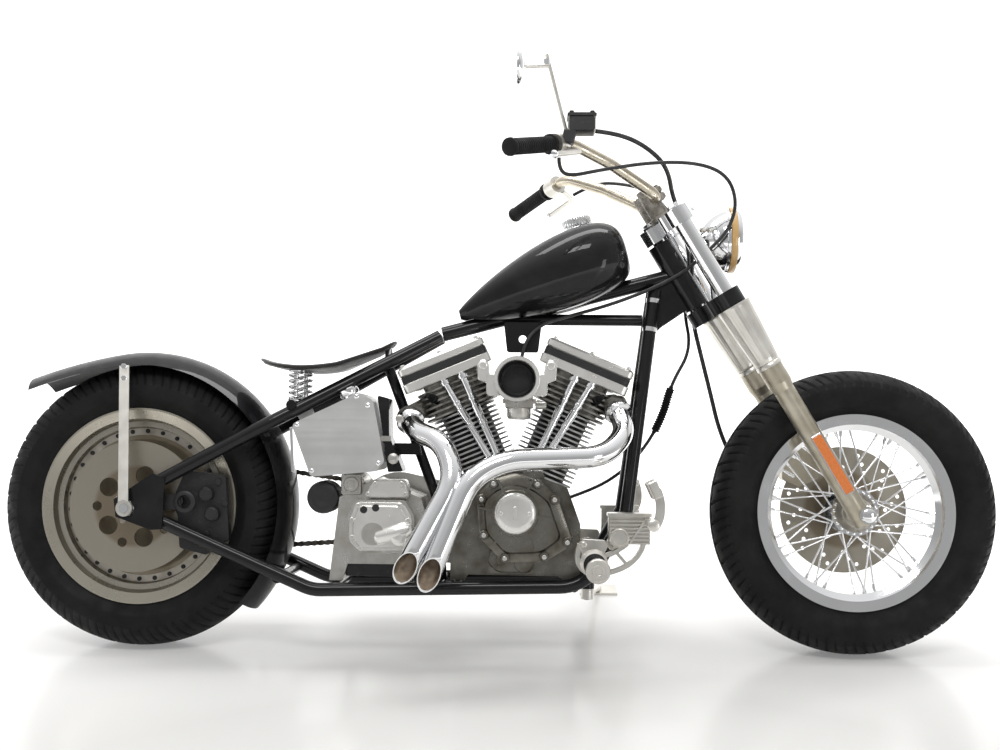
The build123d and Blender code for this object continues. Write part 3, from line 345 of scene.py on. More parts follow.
def tyre_skin(axle_x, width, rim_width, pitches):
    """The outside of a tyre. Across it, (y, radius) follows the sidewall's arc, the crown's arc and the
    other sidewall; round it, grooves are cut by how near a point is to slanting and wavy lines."""
    bead, foot, tread = rim_width / 2 - 4.3, 224, width / 2 - 6
    crown_centre = tyre_radius - crown_radius
    tread_end = crown_centre + sqrt(crown_radius**2 - tread**2)
    widest = (220 + tread_end) / 2 + 8
    height = foot + (tread_end - foot) * np.linspace(0, 1, 15)
    levels = (foot, foot + 14, widest - 14, widest, widest + 14, tread_end)
    reaches = (bead, bead + (width / 2 - bead) * 0.62, width / 2 - 0.8, width / 2, width / 2 - 1, tread)
    bulge = np.stack([np.interp(height, levels, reaches), height], 1)
    across = np.linspace(-tread, tread, 61)
    crown = np.stack([across, crown_centre + np.sqrt(crown_radius**2 - across**2)], 1)
    seat = [(bead, bead_radius)]
    profile = np.concatenate([np.array(seat) * (-1, 1), bulge * (-1, 1), crown[1:-1], bulge[::-1], seat])
    angle = np.linspace(0, 2 * pi, pitches * 20, endpoint=False)
    y, radius = profile[:, 0, None], profile[:, 1, None]
    side, reach = np.sign(y), np.abs(y)
    on_tread = radius > tread_end - 6
    slant = (angle * pitches / (2 * pi) + 0.25 * side + 0.5 * (reach / tread) ** 1.6) % 1
    pitch_length = 2 * pi * tyre_radius / pitches
    far = 99  # from any groove
    long_groove = np.where((reach > 13) & on_tread, np.abs(slant - 0.5) * pitch_length, far)
    half_slant = (slant + 0.5) % 1
    short_groove = np.where((reach > tread * 0.62) & on_tread, np.abs(half_slant - 0.5) * pitch_length, far)
    wavy = np.where(on_tread, np.abs(reach - 11 - 2.5 * np.sin(angle * pitches)), far)
    nearest = np.minimum(np.minimum(long_groove, short_groove + 0.8), wavy)
    depth = groove_depth * np.clip((groove_half_width - nearest) / 1.4, 0, 1)
    ribs = [0.6 * np.exp(-((radius - at) / 1.2) ** 2) for at in (rim_guard_radius, upper_rib_radius)]
    radius = radius - depth
    y = y + side * (ribs[0] + ribs[1]) * (1 - on_tread)
    rows = np.broadcast_arrays(axle_x + radius * np.cos(angle), y, tyre_radius + radius * np.sin(angle))
    return np.stack(rows, -1), [face[::-1] for face in grid_faces(len(profile), len(angle), looped=True)]


def rubber(place):
    """Black rubber, greyer where a broad cloud of road dust lies, with a fine moulded grain."""
    return {"Base Color": place.noise(9, 6).between((0.004, 0.004, 0.0045), (0.009, 0.009, 0.009)),
            "Roughness": 0.55 + place.noise(30) * 0.2, "Specular IOR Level": 0.22,
            "Normal": place.noise(700, 2).bump(0.2, 0.0005)}


black_rubber = material("black_rubber", rubber)
for end, axle_x, width, rim_width in (("front", front_axle_x, 130, 92), ("rear", rear_axle_x, 150, 128)):
    joined(f"{end}_tyre_tread", [tyre_skin(axle_x, width, rim_width, pitches=44)], black_rubber,
           f"{end}_wheel", "tyre", f"{end}_tyre", sharp=50)

# ---- Engine ------------------------------------------------------------------------
# An air-cooled vee twin of cast aluminium. The barrels are painted black, with the fins'
# edges cut bright, the heads are bare, and each rocker box is a stack of polished castings
# with a black band, screwed down on its head.
vee_half_angle, crank_x, crank_z = radians(22.5), 41, 255
head_top, rocker_top = 388, 447  # up the cylinder, from the crank


def on_cylinder(side, points):
    """Points given as (across, y, up the cylinder), on the rear (-1) or the front (+1) cylinder."""
    tilt = side * vee_half_angle
    across, y, up = np.moveaxis(np.asarray(points, float), -1, 0)
    return np.stack([crank_x + across * cos(tilt) + up * sin(tilt), y,
                     crank_z - across * sin(tilt) + up * cos(tilt)], -1)


def upright(place, centre):
    """The place measured from a point of the upright bike, along the bike's own axes, in metres."""
    back = Matrix.Rotation(lean, 3, "X") @ Vector(stood(centre))
    return place.node("Mapping", {"Vector": place, "Rotation": (lean, 0, 0), "Location": tuple(-back)})


def from_cylinder(place):
    """How far a point is from the axis of the cylinder that it belongs to, in metres."""
    here = upright(place, (crank_x, 0, crank_z))
    x, y, z = (here.part(axis) for axis in "XYZ")
    across = x.math("ABSOLUTE", x) * cos(vee_half_angle) - z * sin(vee_half_angle)
    return (across * across + y * y).root()


def cut_fins(place):
    """Black paint over cast aluminium, cut bright where a point is at the fins' rim."""
    rim = from_cylinder(place).rising(0.0728, 0.0738)
    return {"Base Color": rim.between((0.012, 0.012, 0.013), (0.50, 0.50, 0.49)),
            "Metallic": rim, "Roughness": 0.45 + place.noise(60) * 0.15,
            "Normal": place.noise(500, 2).bump(0.2)}


def head_metal(place):
    """Bare cast head: grey aluminium that heat and oil have browned in patches."""
    return {"Base Color": place.noise(35, 5).between((0.10, 0.095, 0.085), (0.36, 0.35, 0.32)),
            "Metallic": 0.8, "Roughness": 0.38 + place.noise(80) * 0.2,
            "Normal": place.noise(420, 3).bump(0.25)}


def cast_metal(clean, stained):
    """Aluminium as cast: a sandy grain, dulled and browned in clouds where oil has dried."""
    def look(place):
        stain = place.noise(26, 6, 0.35, 0.75)
        return {"Base Color": stain.between(clean, stained), "Metallic": 0.95,
                "Roughness": 0.25 + stain * 0.22, "Normal": place.noise(420, 3).bump(0.16, 0.0006)}
    return look


def polished_metal(place):
    """Polished aluminium: fine swirls of the mop in its roughness, and a soft unevenness."""
    swirl = place.node("TexNoise", {"Vector": place, "Scale": 60, "Detail": 6, "Distortion": 1.2})
    return {"Base Color": place.noise(12, 4).between((0.88, 0.87, 0.84), (0.76, 0.745, 0.71)),
            "Metallic": 0.7, "Roughness": 0.16 + swirl * 0.16,
            "Normal": place.noise(45, 2, 0, 1).bump(0.1)}


def satin_black(place):
    """Satin black enamel with a slight texture, worn thin and greyer in small spots."""
    return {"Base Color": place.noise(70, 5, 0.6, 0.8).between((0.012, 0.012, 0.013), (0.035, 0.034, 0.033)),
            "Roughness": 0.42 + place.noise(50) * 0.12, "Normal": place.noise(420, 2).bump(0.12)}


fins_black, head_alloy = material("fins_black", cut_fins), material("head_alloy", head_metal)
cast_alloy = material("cast_alloy", cast_metal((0.62, 0.61, 0.58), (0.38, 0.36, 0.32)))
oiled_alloy = material("oiled_alloy", cast_metal((0.24, 0.23, 0.205), (0.10, 0.09, 0.07)))
polished_alloy = material("polished_alloy", polished_metal)
enamel_black = material("enamel_black", satin_black)
dress(fins_black, "cylinder_barrels")
dress(head_alloy, "cylinder_heads")
dress(oiled_alloy, "crankcase")
dress(chrome, "pushrod_tubes")


def layer(side, length, width, corner, low, high, edge):
    """One casting of a rocker box: a rounded rectangle across the head, chamfered at both faces."""
    outline = rounded([(-length / 2, -width / 2), (length / 2, -width / 2), (length / 2, width / 2),
                       (-length / 2, width / 2)], corner, 7)
    inner = outline * (1 - 2 * edge / np.array([length, width]))
    rows = [(inner, low), (outline, low + edge), (outline, high - edge), (inner, high)]
    points = np.stack([np.insert(corners, 2, up, axis=1) for corners, up in rows])
    return on_cylinder(side, points), grid_faces(4, len(outline), capped=True)


# the castings: (length, width, corner, from, to, edge) and, between the two, a black band
castings = ((208, 184, 16, head_top + 0.3, head_top + 21, 1.5), (206, 182, 16, head_top + 37, rocker_top, 5))
black_band = (203, 179, 15, head_top + 20, head_top + 38, 0.5)
cap_screw = [(0, 5), (5.4, 5), (6, 4.4), (6, 2.6), (3, 2.5)]


def screws(places, axis, profile, count=12):
    """The same turned fastener standing on each place."""
    return [solid_of_turning(profile, place, axis, count) for place in places]


for side, end in ((-1, "rear"), (1, "front")):
    axis = on_cylinder(side, (0, 0, 1)) - on_cylinder(side, (0, 0, 0))
    heads = on_cylinder(side, [(x, y, rocker_top) for x in (-88, 0, 88) for y in (-76, 76)])
    stack = [layer(side, *sizes) for sizes in castings] + screws(heads, axis, cap_screw)
    joined(f"rocker_castings_{end}", stack, polished_alloy, "chassis", "polished_aluminium",
           *(["rocker_boxes"] if side < 0 else []))
    joined(f"rocker_band_{end}", [layer(side, *black_band)], enamel_black, "chassis", "black_alloy")

# pushrod covers: a clip and two collars on each of the four tubes
pushrod_feet = ((-1, 5, -14), (-1, 20, 29), (1, 73, -14), (1, 89, 26))  # side, the foot's x, across the head
rings = ((0.03, 4, 11.5), (0.10, 3, 10), (0.50, 4, 9.6), (0.62, 14, 9.2), (0.74, 4, 9.6), (0.96, 5, 11))
collars = []
for side, foot_x, across in pushrod_feet:
    foot, top = np.array((foot_x, -98, 406)), on_cylinder(side, (across, -82.5, head_top))
    for share, reach, radius in rings:
        collar = [(-reach, 7.6), (-reach + 0.8, radius), (reach - 0.8, radius), (reach, 7.6)]
        collars.append(solid_of_turning(collar, foot + (top - foot) * share, top - foot, 24))
joined("pushrod_collars", collars, chrome, "chassis", "chrome")

# sparking plugs and their leads' caps, one on each head's right side
plug_cap = [(0, 8), (14, 8), (15, 10), (24, 10), (25, 7), (44, 6.5), (50, 5)]
plugs = [solid_of_turning(plug_cap, on_cylinder(side, (side * 46, -60, 350)), (side * 0.35, -0.9, 0.25), 16)
         for side in (-1, 1)]
joined("plug_caps", plugs, black_rubber, "chassis", "rubber")

# ---- Cam cover ---------------------------------------------------------------------
# A cast cover on the engine's right, ribbed and screwed on round its edge, with a polished
# round lid held by two screws over the points, and the oil pump's housing below it.
to_right = (0, -1, 0)
cam_x, cam_z = 44, 316
cam_centre = np.array((cam_x, cam_z))
cover_edge = rounded([(-34, 262), (20, 208), (112, 212), (172, 250), (136, 352), (96, 388), (44, 404),
                      (-10, 388), (-40, 352)], 12)
cover_crown = rounded([(-20, 272), (24, 226), (104, 230), (146, 262), (118, 342), (84, 368), (44, 380),
                       (4, 368), (-26, 342)], 14)
cover_levels = [(cover_edge, -110), (cover_edge, -123), (cover_edge * 0.97 + cam_centre * 0.03, -125),
                (cover_crown, -126), (cover_crown * 0.95 + cam_centre * 0.05, -133)]
cover_rows = np.stack([np.insert(outline, 1, y, axis=1) for outline, y in cover_levels])
cover = [(cover_rows, grid_faces(len(cover_rows), len(cover_edge), capped=True))]
bosses = [(-24, 268), (22, 218), (108, 222), (158, 254), (130, 346), (92, 380), (-4, 380), (-30, 346)]
cover += screws([(x, -118, z) for x, z in bosses], to_right, [(0, 11), (12, 11), (14, 9)], 20)
for angle in (-62, -8, 62, 118, 172, 236):  # the ribs that run out from the lid
    run = np.array((cos(radians(angle)), sin(radians(angle))))
    across = np.array((-run[1], run[0])) * 3.4
    start, end = cam_centre + run * 46, cam_centre + run * 84
    rib = [end + across * 0.7, end - across * 0.7, start - across, start + across]
    cover.append(slab(rib, -128, -136, 1))
cover += [solid_of_turning([(0, 58), (7, 52), (9, 50)], (cam_x, -126, cam_z), to_right, 64)]


def tapered(middle, foot, top, low, high):
    """Four (x, z) corners: `foot` to each side of the middle at the low edge and `top` at the high one."""
    return [(middle - foot, low), (middle + foot, low), (middle + top, high), (middle - top, high)]


for block_x in (12, 82):  # the lifter blocks that the pushrod tubes stand on
    cover += [slab(rounded(tapered(block_x, 26, 22, 370, 406.7), 4), -81, -115, 2),
              slab(rounded(tapered(block_x, 20, 17, 380, 400), 3), -114, -119, 1)]
    cover += screws([(block_x + x, -115, 396) for x in (-21, 21)], to_right, cap_screw)
joined("cam_casting", cover, oiled_alloy, "chassis", "cast_aluminium", "cam_cover")
lid_rings = [(0, 46), (1, 46), (6, 44.5), (9, 40), (10, 30), (10.3, 12)]
lid_screw = [(0, 4.6), (1.8, 4.6), (2.4, 3.8), (2.4, 2), (1.4, 1.9)]
lid = [solid_of_turning(lid_rings, (cam_x, -133, cam_z), to_right, 64)]
lid += screws([(cam_x - 31, -142, cam_z), (cam_x + 31, -142, cam_z)], to_right, lid_screw, 20)
lid += [slab(rounded(tapered(cam_x, 4, 4, cam_z - 12, cam_z + 9), 2, 4), -142, -146, 1),
        solid_of_turning([(0, 4.5), (3, 4.5), (4, 3.5)], (cam_x, -143, cam_z + 11), to_right, 20)]
lid += screws([(x, -131, z) for x, z in bosses], to_right, cap_screw, 16)
joined("points_lid", lid, polished_alloy, "chassis", "polished_aluminium")
pump = [slab(rounded([(-12, 236), (-16, 206), (6, 186), (78, 186), (88, 206), (82, 236)], 9), -90, -118, 3),
        solid_of_turning([(0, 20), (18, 20), (20, 18)], (62, -100, 206), to_right),
        solid_of_turning([(0, 12), (26, 12), (28, 10)], (14, -96, 214), to_right, 24)]
pump += screws([(-4, -117, 226), (74, -117, 228), (2, -117, 198)], to_right, cap_screw, 16)
joined("oil_pump", pump, oiled_alloy, "chassis", "cast_aluminium")

# ---- Carburettor and exhaust -------------------------------------------------------
# The carburettor breathes through a short polished horn held by two cranked brackets.
# Two chromed pipes of thin tube run close together and end in slanting cuts.
carb_x, carb_z = 46, 606
mouth, carb_root = (carb_x, -160, carb_z), np.array((carb_x, -42, carb_z))
forwards, downwards = (1, 0, 0), (0, 0, -1)
horn_lip = [(0, 40), (0, 46), (26, 46.5), (34, 49.5), (40, 49.5), (42.5, 48), (42.5, 41.5), (40, 40)]
horn = [ring_of_turning(horn_lip, mouth, to_right, 72)]
ear = [(34, -36), (62, -36), (66, -30), (66, -8), (84, -2), (86, 30), (78, 42), (66, 42), (60, 30), (60, 12),
       (48, 10), (44, -4), (34, -8)]
ear_screw = [(0, 9), (3, 9), (5, 7), (5, 4.5), (3, 4)]
for side in (-1, 1):
    outline = np.array([(carb_x + side * x, carb_z + z) for x, z in ear])
    horn.append(slab(rounded(outline[::side], 4, 4), -170, -184, 2))
    horn.append(solid_of_turning(ear_screw, (carb_x + side * 73, -183, carb_z + 30), to_right, 24))
joined("air_horn", horn, polished_alloy, "chassis", "polished_aluminium", "carburettor")
throat = [ring_of_turning([(0, 28.2), (0, 40.2), (2, 40.2), (38, 40.4), (39, 39), (4, 34)], mouth, to_right),
          slab(tapered(carb_x, 3, 3, carb_z - 27, carb_z + 27), -128, -150, 0.8),
          solid_of_turning([(-8, 27.8), (0, 27.8)], (carb_x, -121, carb_z), to_right, 40),
          solid_of_turning([(30, 30), (32, 34), (124, 34), (128, 38), (160, 38), (161, 30)],
                           (carb_x, 0, carb_z), to_right, 48)]
for side in (-1, 1):  # the inlet pipes to the two heads
    run = on_cylinder(side, (-side * 40, -34, 350)) - carb_root
    throat.append(solid_of_turning([(0, 18), (np.linalg.norm(run), 18)], carb_root, run, 28))
joined("carburettor_throat", throat, enamel_black, "chassis", "black_alloy")
bowl = [slab(rounded([(20, 545), (82, 545), (80, 586), (18, 586)], 5), -84, -140, 3),
        solid_of_turning([(0, 26), (22, 26), (27, 23), (29, 12)], (50, -112, 549), downwards, 40),
        solid_of_turning([(0, 6), (12, 6), (13, 4)], (24, -139, 574), to_right, 6),
        solid_of_turning([(0, 5), (16, 5), (17, 3)], (74, -139, 571), to_right, 20),
        solid_of_turning([(0, 6), (10, 6), (11, 4)], (50, -110, 537), downwards, 16),
        slab(rounded([(14, 556), (88, 556), (88, 566), (14, 566)], 3, 4), -92, -136, 1.5),
        solid_of_turning([(0, 9), (22, 9), (24, 7)], (86, -120, 552), forwards, 20)]
bowl += screws([(20, -136, 561), (82, -136, 561)], to_right, cap_screw)
joined("float_bowl", bowl, cast_alloy, "chassis", "cast_aluminium")


def eased(corners, most=70, steps=10):
    """A route whose corners are eased: each is a quadratic curve between points up to `most`, or half
    the shorter run, away from it along both runs."""
    corners = np.array(corners, float)
    t, parts = np.linspace(0, 1, steps)[:, None], [corners[:1]]
    for before, corner, after in zip(corners, corners[1:], corners[2:]):
        cut = min(most, 0.5 * np.linalg.norm(before - corner), 0.5 * np.linalg.norm(after - corner))
        entry = corner + (before - corner) * cut / np.linalg.norm(before - corner)
        leaving = corner + (after - corner) * cut / np.linalg.norm(after - corner)
        parts.append(leaning(t, entry, corner, leaving))
    route = np.concatenate(parts + [corners[-1:]])
    return route[np.concatenate([[True], np.linalg.norm(np.diff(route, axis=0), axis=1) > 0.5])]


def circles_along(path, count):
    """At each point of a path, the path's direction and a circle of unit offsets square to it. Where the
    circle starts is carried along, each time less the part of it that lies along the path."""
    tangent = np.gradient(path, axis=0)
    tangent /= np.linalg.norm(tangent, axis=1, keepdims=True)
    side = np.cross(tangent[0], (0, 1, 0) if abs(tangent[0][1]) < 0.9 else (1, 0, 0))
    sides = []
    for way in tangent:
        side = side - way * side.dot(way)
        side = side / np.linalg.norm(side)
        sides.append(side)
    angle = np.linspace(0, 2 * pi, count, endpoint=False)[None, :, None]
    across = np.cross(tangent, sides)
    return tangent, np.cos(angle) * np.array(sides)[:, None] + np.sin(angle) * across[:, None]


def slashed(path, radii, slant, count=48):
    """A tube whose last ring lies on a plane through the path's end: a point of it moves along the pipe's
    direction d by -n.o / n.d, where o is its offset and n is d less `slant` times Y. radii are the outer and
    the inner one: the skin turns in at the tip and returns inside."""
    tangent, circles = circles_along(path, count)
    end, way, offset = path[-1], tangent[-1], circles[-1]
    normal = way - np.array((0, slant, 0))
    lift = -(offset @ normal) / way.dot(normal)
    outer, inner = radii
    rows = list(path[:-1, None] + circles[:-1] * outer)
    rows += [end + offset * radius + np.outer(lift * radius, way) for radius in radii]
    rows += [end + offset * inner - way * back for back in (45, 90, 150)]
    return np.stack(rows), grid_faces(len(rows), count, capped=True)


def burnt_metal(place):
    """The inside of a pipe: bare steel stained brown and dull by the exhaust."""
    return {"Base Color": place.noise(50, 5).between((0.34, 0.27, 0.20), (0.16, 0.12, 0.09)), "Metallic": 0.7,
            "Roughness": 0.4 + place.noise(90) * 0.2, "Normal": place.noise(200, 3).bump(0.1)}


routes = [[(268, -64, 548), (286, -112, 494), (236, -168, 441), (20, -208, 433), (-52, -222, 392),
           (-132, -255, 194)],
          [(-196, -64, 520), (-176, -118, 492), (-110, -178, 470), (-84, -212, 390), (-182, -255, 208)]]
pipe_radii, liner_radii, tip_slant = (23.5, 21.7), (21.6, 20.8), 2.1
port_flange = [(-3, 23), (-2, 31), (3, 32), (7, 30), (9, 23.6)]
pipes, liners = [], []
for corners in routes:
    path = eased(corners)
    onward = (path[-1] - path[-2]) / np.linalg.norm(path[-1] - path[-2])
    path = np.concatenate([path[:-1], [path[-1] - onward * 45, path[-1]]])
    first_run = path[1] - path[0]
    pipes += [slashed(path, pipe_radii, tip_slant),
              ring_of_turning(port_flange, path[0] + first_run * 0.3, first_run)]
    liners.append(slashed(path[-1] - np.outer((60, 1.5), onward), liner_radii, tip_slant))
joined("slashed_pipes", pipes, chrome, "chassis", "chrome", "exhaust_pipes")
joined("pipe_liners", liners, material("burnt_metal", burnt_metal), "chassis", "brushed_steel")


# ---- Front wheel -------------------------------------------------------------------
# A chromed rim laced with forty spokes, each ending in a nipple, to a flanged hub. The
# brake disc, on the left, is worn to fine rings and browned near the hub.
def from_axle(place, axle_x):
    """How far a point is from an axle, in metres."""
    here = upright(place, (axle_x, 0, tyre_radius))
    x, z = here.part("X"), here.part("Z")
    return (x * x + z * z).root()


def worn_disc(axle_x):
    """Brake steel: rings of wear, brighter where the pads run, and heat-browned near the hub."""
    def look(place):
        reach = from_axle(place, axle_x)
        pads = reach.rising(0.084, 0.094)
        rings = reach.node("TexNoise", {"W": reach * 900, "Scale": 1.0, "Detail": 4}, noise_dimensions="1D")
        return {"Base Color": pads.between((0.24, 0.20, 0.145), (0.36, 0.33, 0.275)), "Metallic": 0.85,
                "Roughness": 0.24 + rings * 0.22, "Normal": rings.bump(0.15, 0.0003)}
    return look


def hub_metal(place):
    """Polished hub and bolts, with a dull bloom in patches."""
    return {"Base Color": place.noise(40, 4).between((0.50, 0.47, 0.41), (0.38, 0.35, 0.30)), "Metallic": 1,
            "Roughness": 0.28 + place.noise(70) * 0.1, "Normal": place.noise(200, 2).bump(0.04)}


front_disc_steel = material("front_disc_steel", worn_disc(front_axle_x))
rear_disc_steel = material("rear_disc_steel", worn_disc(rear_axle_x))
hub_alloy = material("hub_alloy", hub_metal)
dress(chrome, "front_wheel_laced")
dress(front_disc_steel, "front_brake_disc")


def round_axle(axle_x, radius, y, angle):
    """The point that far from an axle, at an angle that starts ahead of it and turns upwards."""
    return np.array((axle_x + radius * cos(angle), y, tyre_radius + radius * sin(angle)))


to_left = (0, 1, 0)
front_hub, rear_hub = (front_axle_x, 0, tyre_radius), (rear_axle_x, 0, tyre_radius)
spoke_lean, valve_angle = radians(42), 2.6
nipple, spoke_head = [(-16, 2.3), (-15, 3.5), (-6, 3.9), (0, 3.9)], [(3, 3.6), (5, 3.6), (6, 2)]
nipples = []
for side in (-1, 1):
    for k in range(20):
        hub_angle = radians((k + side / 4) * 18)
        rim_angle = hub_angle + (spoke_lean if k % 2 else -spoke_lean)
        inner = round_axle(front_axle_x, 47, side * 33, hub_angle)
        outer = round_axle(front_axle_x, 187, side * 7, rim_angle)
        nipples += [solid_of_turning(nipple, outer, outer - inner, 8),
                    solid_of_turning(spoke_head, inner, (0, side, 0), 10)]
nipples.append(solid_of_turning([(-26, 3), (-24, 4), (-12, 4), (-11, 3), (14, 3)],
                                round_axle(front_axle_x, 176, 0, valve_angle),
                                (cos(valve_angle), 0, sin(valve_angle)), 12))
joined("spoke_nipples", nipples, chrome, "front_wheel", "chrome")
hub_flange = [(-60, 27), (-59, 33), (-50, 34), (-38, 44), (-36, 26.5)]
hub_cap = [(-83, 22), (-82, 29), (-72, 30), (-71, 26.5)]
hub_parts = [ring_of_turning(profile, front_hub, to_left) for profile in (hub_flange, hub_cap)]
hub_parts += screws([round_axle(front_axle_x, 33, 79, radians(72 * k + 20)) for k in range(5)], to_left,
                    [(-1, 6), (4, 6), (5, 5), (5, 3), (2, 2.8)], 16)
joined("front_hub_trim", hub_parts, hub_alloy, "front_wheel", "polished_aluminium")


# ---- Rear wheel --------------------------------------------------------------------
# A solid disc bolted into a deep lip by a ring of thirty bolts each side. The lip and its
# inner ring are polished, and the disc between is satin and stained by brake dust.
def wheel_metal(place):
    """Satin grey-brown inside 176 mm, a brighter ring to 196 mm and a creamy polished lip outside."""
    reach = from_axle(place, rear_axle_x)
    dust = place.noise(18, 6, 0.35, 0.7)
    middle = dust.between((0.32, 0.28, 0.21), (0.20, 0.165, 0.115))
    ring, lip = reach.rising(0.1755, 0.1765), reach.rising(0.1955, 0.1965)
    return {"Base Color": lip.between(ring.between(middle, (0.40, 0.375, 0.32)), (0.46, 0.43, 0.36)),
            "Metallic": 0.85, "Roughness": 0.36 - ring * 0.12 + dust * 0.1,
            "Normal": place.noise(300, 2).bump(0.06)}


dress(material("wheel_alloy", wheel_metal), "rear_wheel_disc")
dress(rear_disc_steel, "rear_brake_disc")
rim_bolts, bolt_seats = [], []
for side in (-1, 1):
    places = [round_axle(rear_axle_x, 168, side * 26.6, radians(12 * k + 4)) for k in range(30)]
    rim_bolts += screws(places, (0, side, 0), [(0, 4.2), (0.2, 5), (3.4, 5), (4, 4.4)])
    seat_ring = [(26, 158), (27.8, 159), (27.8, 175), (26, 176)]
    bolt_seats.append(ring_of_turning(seat_ring, rear_hub, (0, side, 0), 96))
joined("rear_rim_bolts", rim_bolts, enamel_black, "rear_wheel", "black_alloy")
joined("rear_bolt_seats", bolt_seats, hub_alloy, "rear_wheel", "polished_aluminium")
disc_bolts = screws([round_axle(rear_axle_x, 40, -92.3, radians(72 * k + 14)) for k in range(5)], to_right,
                    [(0, 8.5), (1, 8.5), (1, 6.5), (6, 6.5), (7, 5.5)], 6)
disc_bolts.append(ring_of_turning([(-97, 20), (-96, 26), (-92.4, 27), (-92.4, 16)], rear_hub, to_left))
joined("rear_disc_bolts", disc_bolts, hub_alloy, "rear_wheel", "polished_aluminium")

# ---- Chain and sprocket --------------------------------------------------------------
# A roller chain, its plates alternately inside and outside, runs round the gearbox's
# sprocket and a toothed ring on the rear wheel. Oil darkens it.
pitch, rear_teeth, drive_at, drive_teeth, chain_y = 15.875, 47, (-252, 300), 24, 92
pitch_radius, drive_radius = pitch / 2 / sin(pi / rear_teeth), pitch / 2 / sin(pi / drive_teeth)


def chain_pins():
    """Pins evenly round both pitch circles: the tangents touch both at the angle tilt +- (90 degrees - wrap),
    where sin(wrap) is the radii's difference over the centres' distance."""
    rear_at, front_at = np.array((rear_axle_x, tyre_radius)), np.array(drive_at, float)
    run = front_at - rear_at
    tilt = np.arctan2(run[1], run[0])
    lead = pi / 2 - np.arcsin((pitch_radius - drive_radius) / np.hypot(*run))
    front = tilt + lead - np.linspace(0, 2 * lead, 60)
    rear = tilt - lead - np.linspace(0, 2 * (pi - lead), 160)
    path = np.concatenate([front_at + drive_radius * np.stack([np.cos(front), np.sin(front)], 1),
                           rear_at + pitch_radius * np.stack([np.cos(rear), np.sin(rear)], 1)])
    path = np.concatenate([path, path[:1]])
    gone = np.concatenate([[0], np.cumsum(np.hypot(*np.diff(path, axis=0).T))])
    count = round(gone[-1] / pitch / 2) * 2
    at = np.linspace(0, gone[-1], count, endpoint=False)
    return np.stack([np.interp(at, gone, path[:, 0]), np.interp(at, gone, path[:, 1])], 1)


pins = chain_pins()
links = []
for k, (start, end) in enumerate(zip(pins, np.roll(pins, -1, 0))):
    along = (end - start) / np.hypot(*(end - start))
    across = np.array((-along[1], along[0]))
    bends = [6.2 * (np.cos(a) * along + np.sin(a) * across) for a in np.linspace(-pi / 2, pi / 2, 6)]
    waist, middle = 4.4 * across, (start + end) / 2
    ends = [end + bend for bend in bends] + [middle + waist]
    ends += [start - bend for bend in bends] + [middle - waist]
    low, high = (3.9, 5.4) if k % 2 else (5.6, 7.1)
    links += [slab(ends, chain_y + low, chain_y + high, 0.3), slab(ends, chain_y - high, chain_y - low, 0.3)]
    links.append(solid_of_turning([(-7.9, 2.4), (-3.8, 2.4), (-3.8, 4.9), (3.8, 4.9), (3.8, 2.4), (7.9, 2.4)],
                                  (start[0], chain_y, start[1]), to_left, 10))


def oily_steel(place):
    """Dark steel, wet with oil in spots that are smoother and browner."""
    oil = place.noise(90, 4)
    return {"Base Color": oil.between((0.16, 0.15, 0.14), (0.06, 0.05, 0.04)), "Metallic": 0.9,
            "Roughness": 0.45 - oil * 0.2, "Normal": place.noise(400, 2).bump(0.1)}


chain_steel = material("chain_steel", oily_steel)
joined("chain_links", links, chain_steel, "chassis", "brushed_steel", "drive_chain")
angle = np.linspace(0, 2 * pi, rear_teeth * 8, endpoint=False)
tips = pitch_radius - 7.2 + 2 * np.cos(angle * rear_teeth)
inside = np.full_like(angle, 82)
ring = []
for reach, y in ((inside, 88.5), (tips, 88.8), (tips, 95.2), (inside, 95.5)):
    x, z = rear_axle_x + reach * np.cos(angle), tyre_radius + reach * np.sin(angle)
    ring.append(np.stack([x, np.full_like(angle, y), z], 1))
toothed = [(np.stack(ring), grid_faces(4, len(angle), looped=True))]
for k in range(5):
    arm, centre = radians(72 * k), np.array((rear_axle_x, tyre_radius))
    way, side_way = np.array((cos(arm), sin(arm))), np.array((-sin(arm), cos(arm)))
    toothed += [slab([centre + way * 90 + side_way * 11, centre + way * 90 - side_way * 11,
                      centre + way * 30 - side_way * 16, centre + way * 30 + side_way * 16], 88.6, 95.4, 1),
                solid_of_turning([(0, 7), (5, 7), (6, 6)], round_axle(rear_axle_x, 52, 95, arm), to_left, 6)]
toothed.append(ring_of_turning([(88.5, 14.2), (88.5, 44), (95.5, 44), (95.5, 14.2)], rear_hub, to_left))
joined("toothed_ring", toothed, chain_steel, "rear_wheel", "brushed_steel", "rear_sprocket")

# ---- Gearbox, primary drive and auxiliaries ------------------------------------------
# The gearbox has a polished side cover with a slanting bulge and a cast top cover. Over it
# lie the starter, with a square end, and the black oil filter. The primary case is on the
# left, polished, with a round clutch lid.
dress(cast_alloy, "gearbox")
dress(polished_alloy, "primary_case")
side_cover = rounded([(-317, 254), (-296, 232), (-190, 234), (-177, 253), (-181, 308), (-200, 338),
                      (-302, 338), (-317, 297)], 9)
inner_cover = (side_cover - side_cover.mean(0)) * 0.87 + side_cover.mean(0)
bulge = [(0, 4), (3, 12), (10, 17), (72, 19), (84, 15), (90, 6)]
cover = [slab(side_cover, -146, -151, 1.5), slab(inner_cover, -150, -156, 2.8),
         solid_of_turning(bulge, (-262, -149, 258), (84, 0, 26), 40),
         solid_of_turning([(0, 17), (14, 17), (17, 14), (18, 6)], (-206, -148, 262), to_right, 40)]
cover_bolts = [(-309, 262), (-310, 300), (-296, 331), (-206, 331), (-187, 300), (-184, 252), (-290, 238)]
top_bolts = [(-262, 378), (-204, 378), (-196, 355), (-278, 355)]
cover += screws([(x, -150, z) for x, z in cover_bolts], to_right, cap_screw, 16)
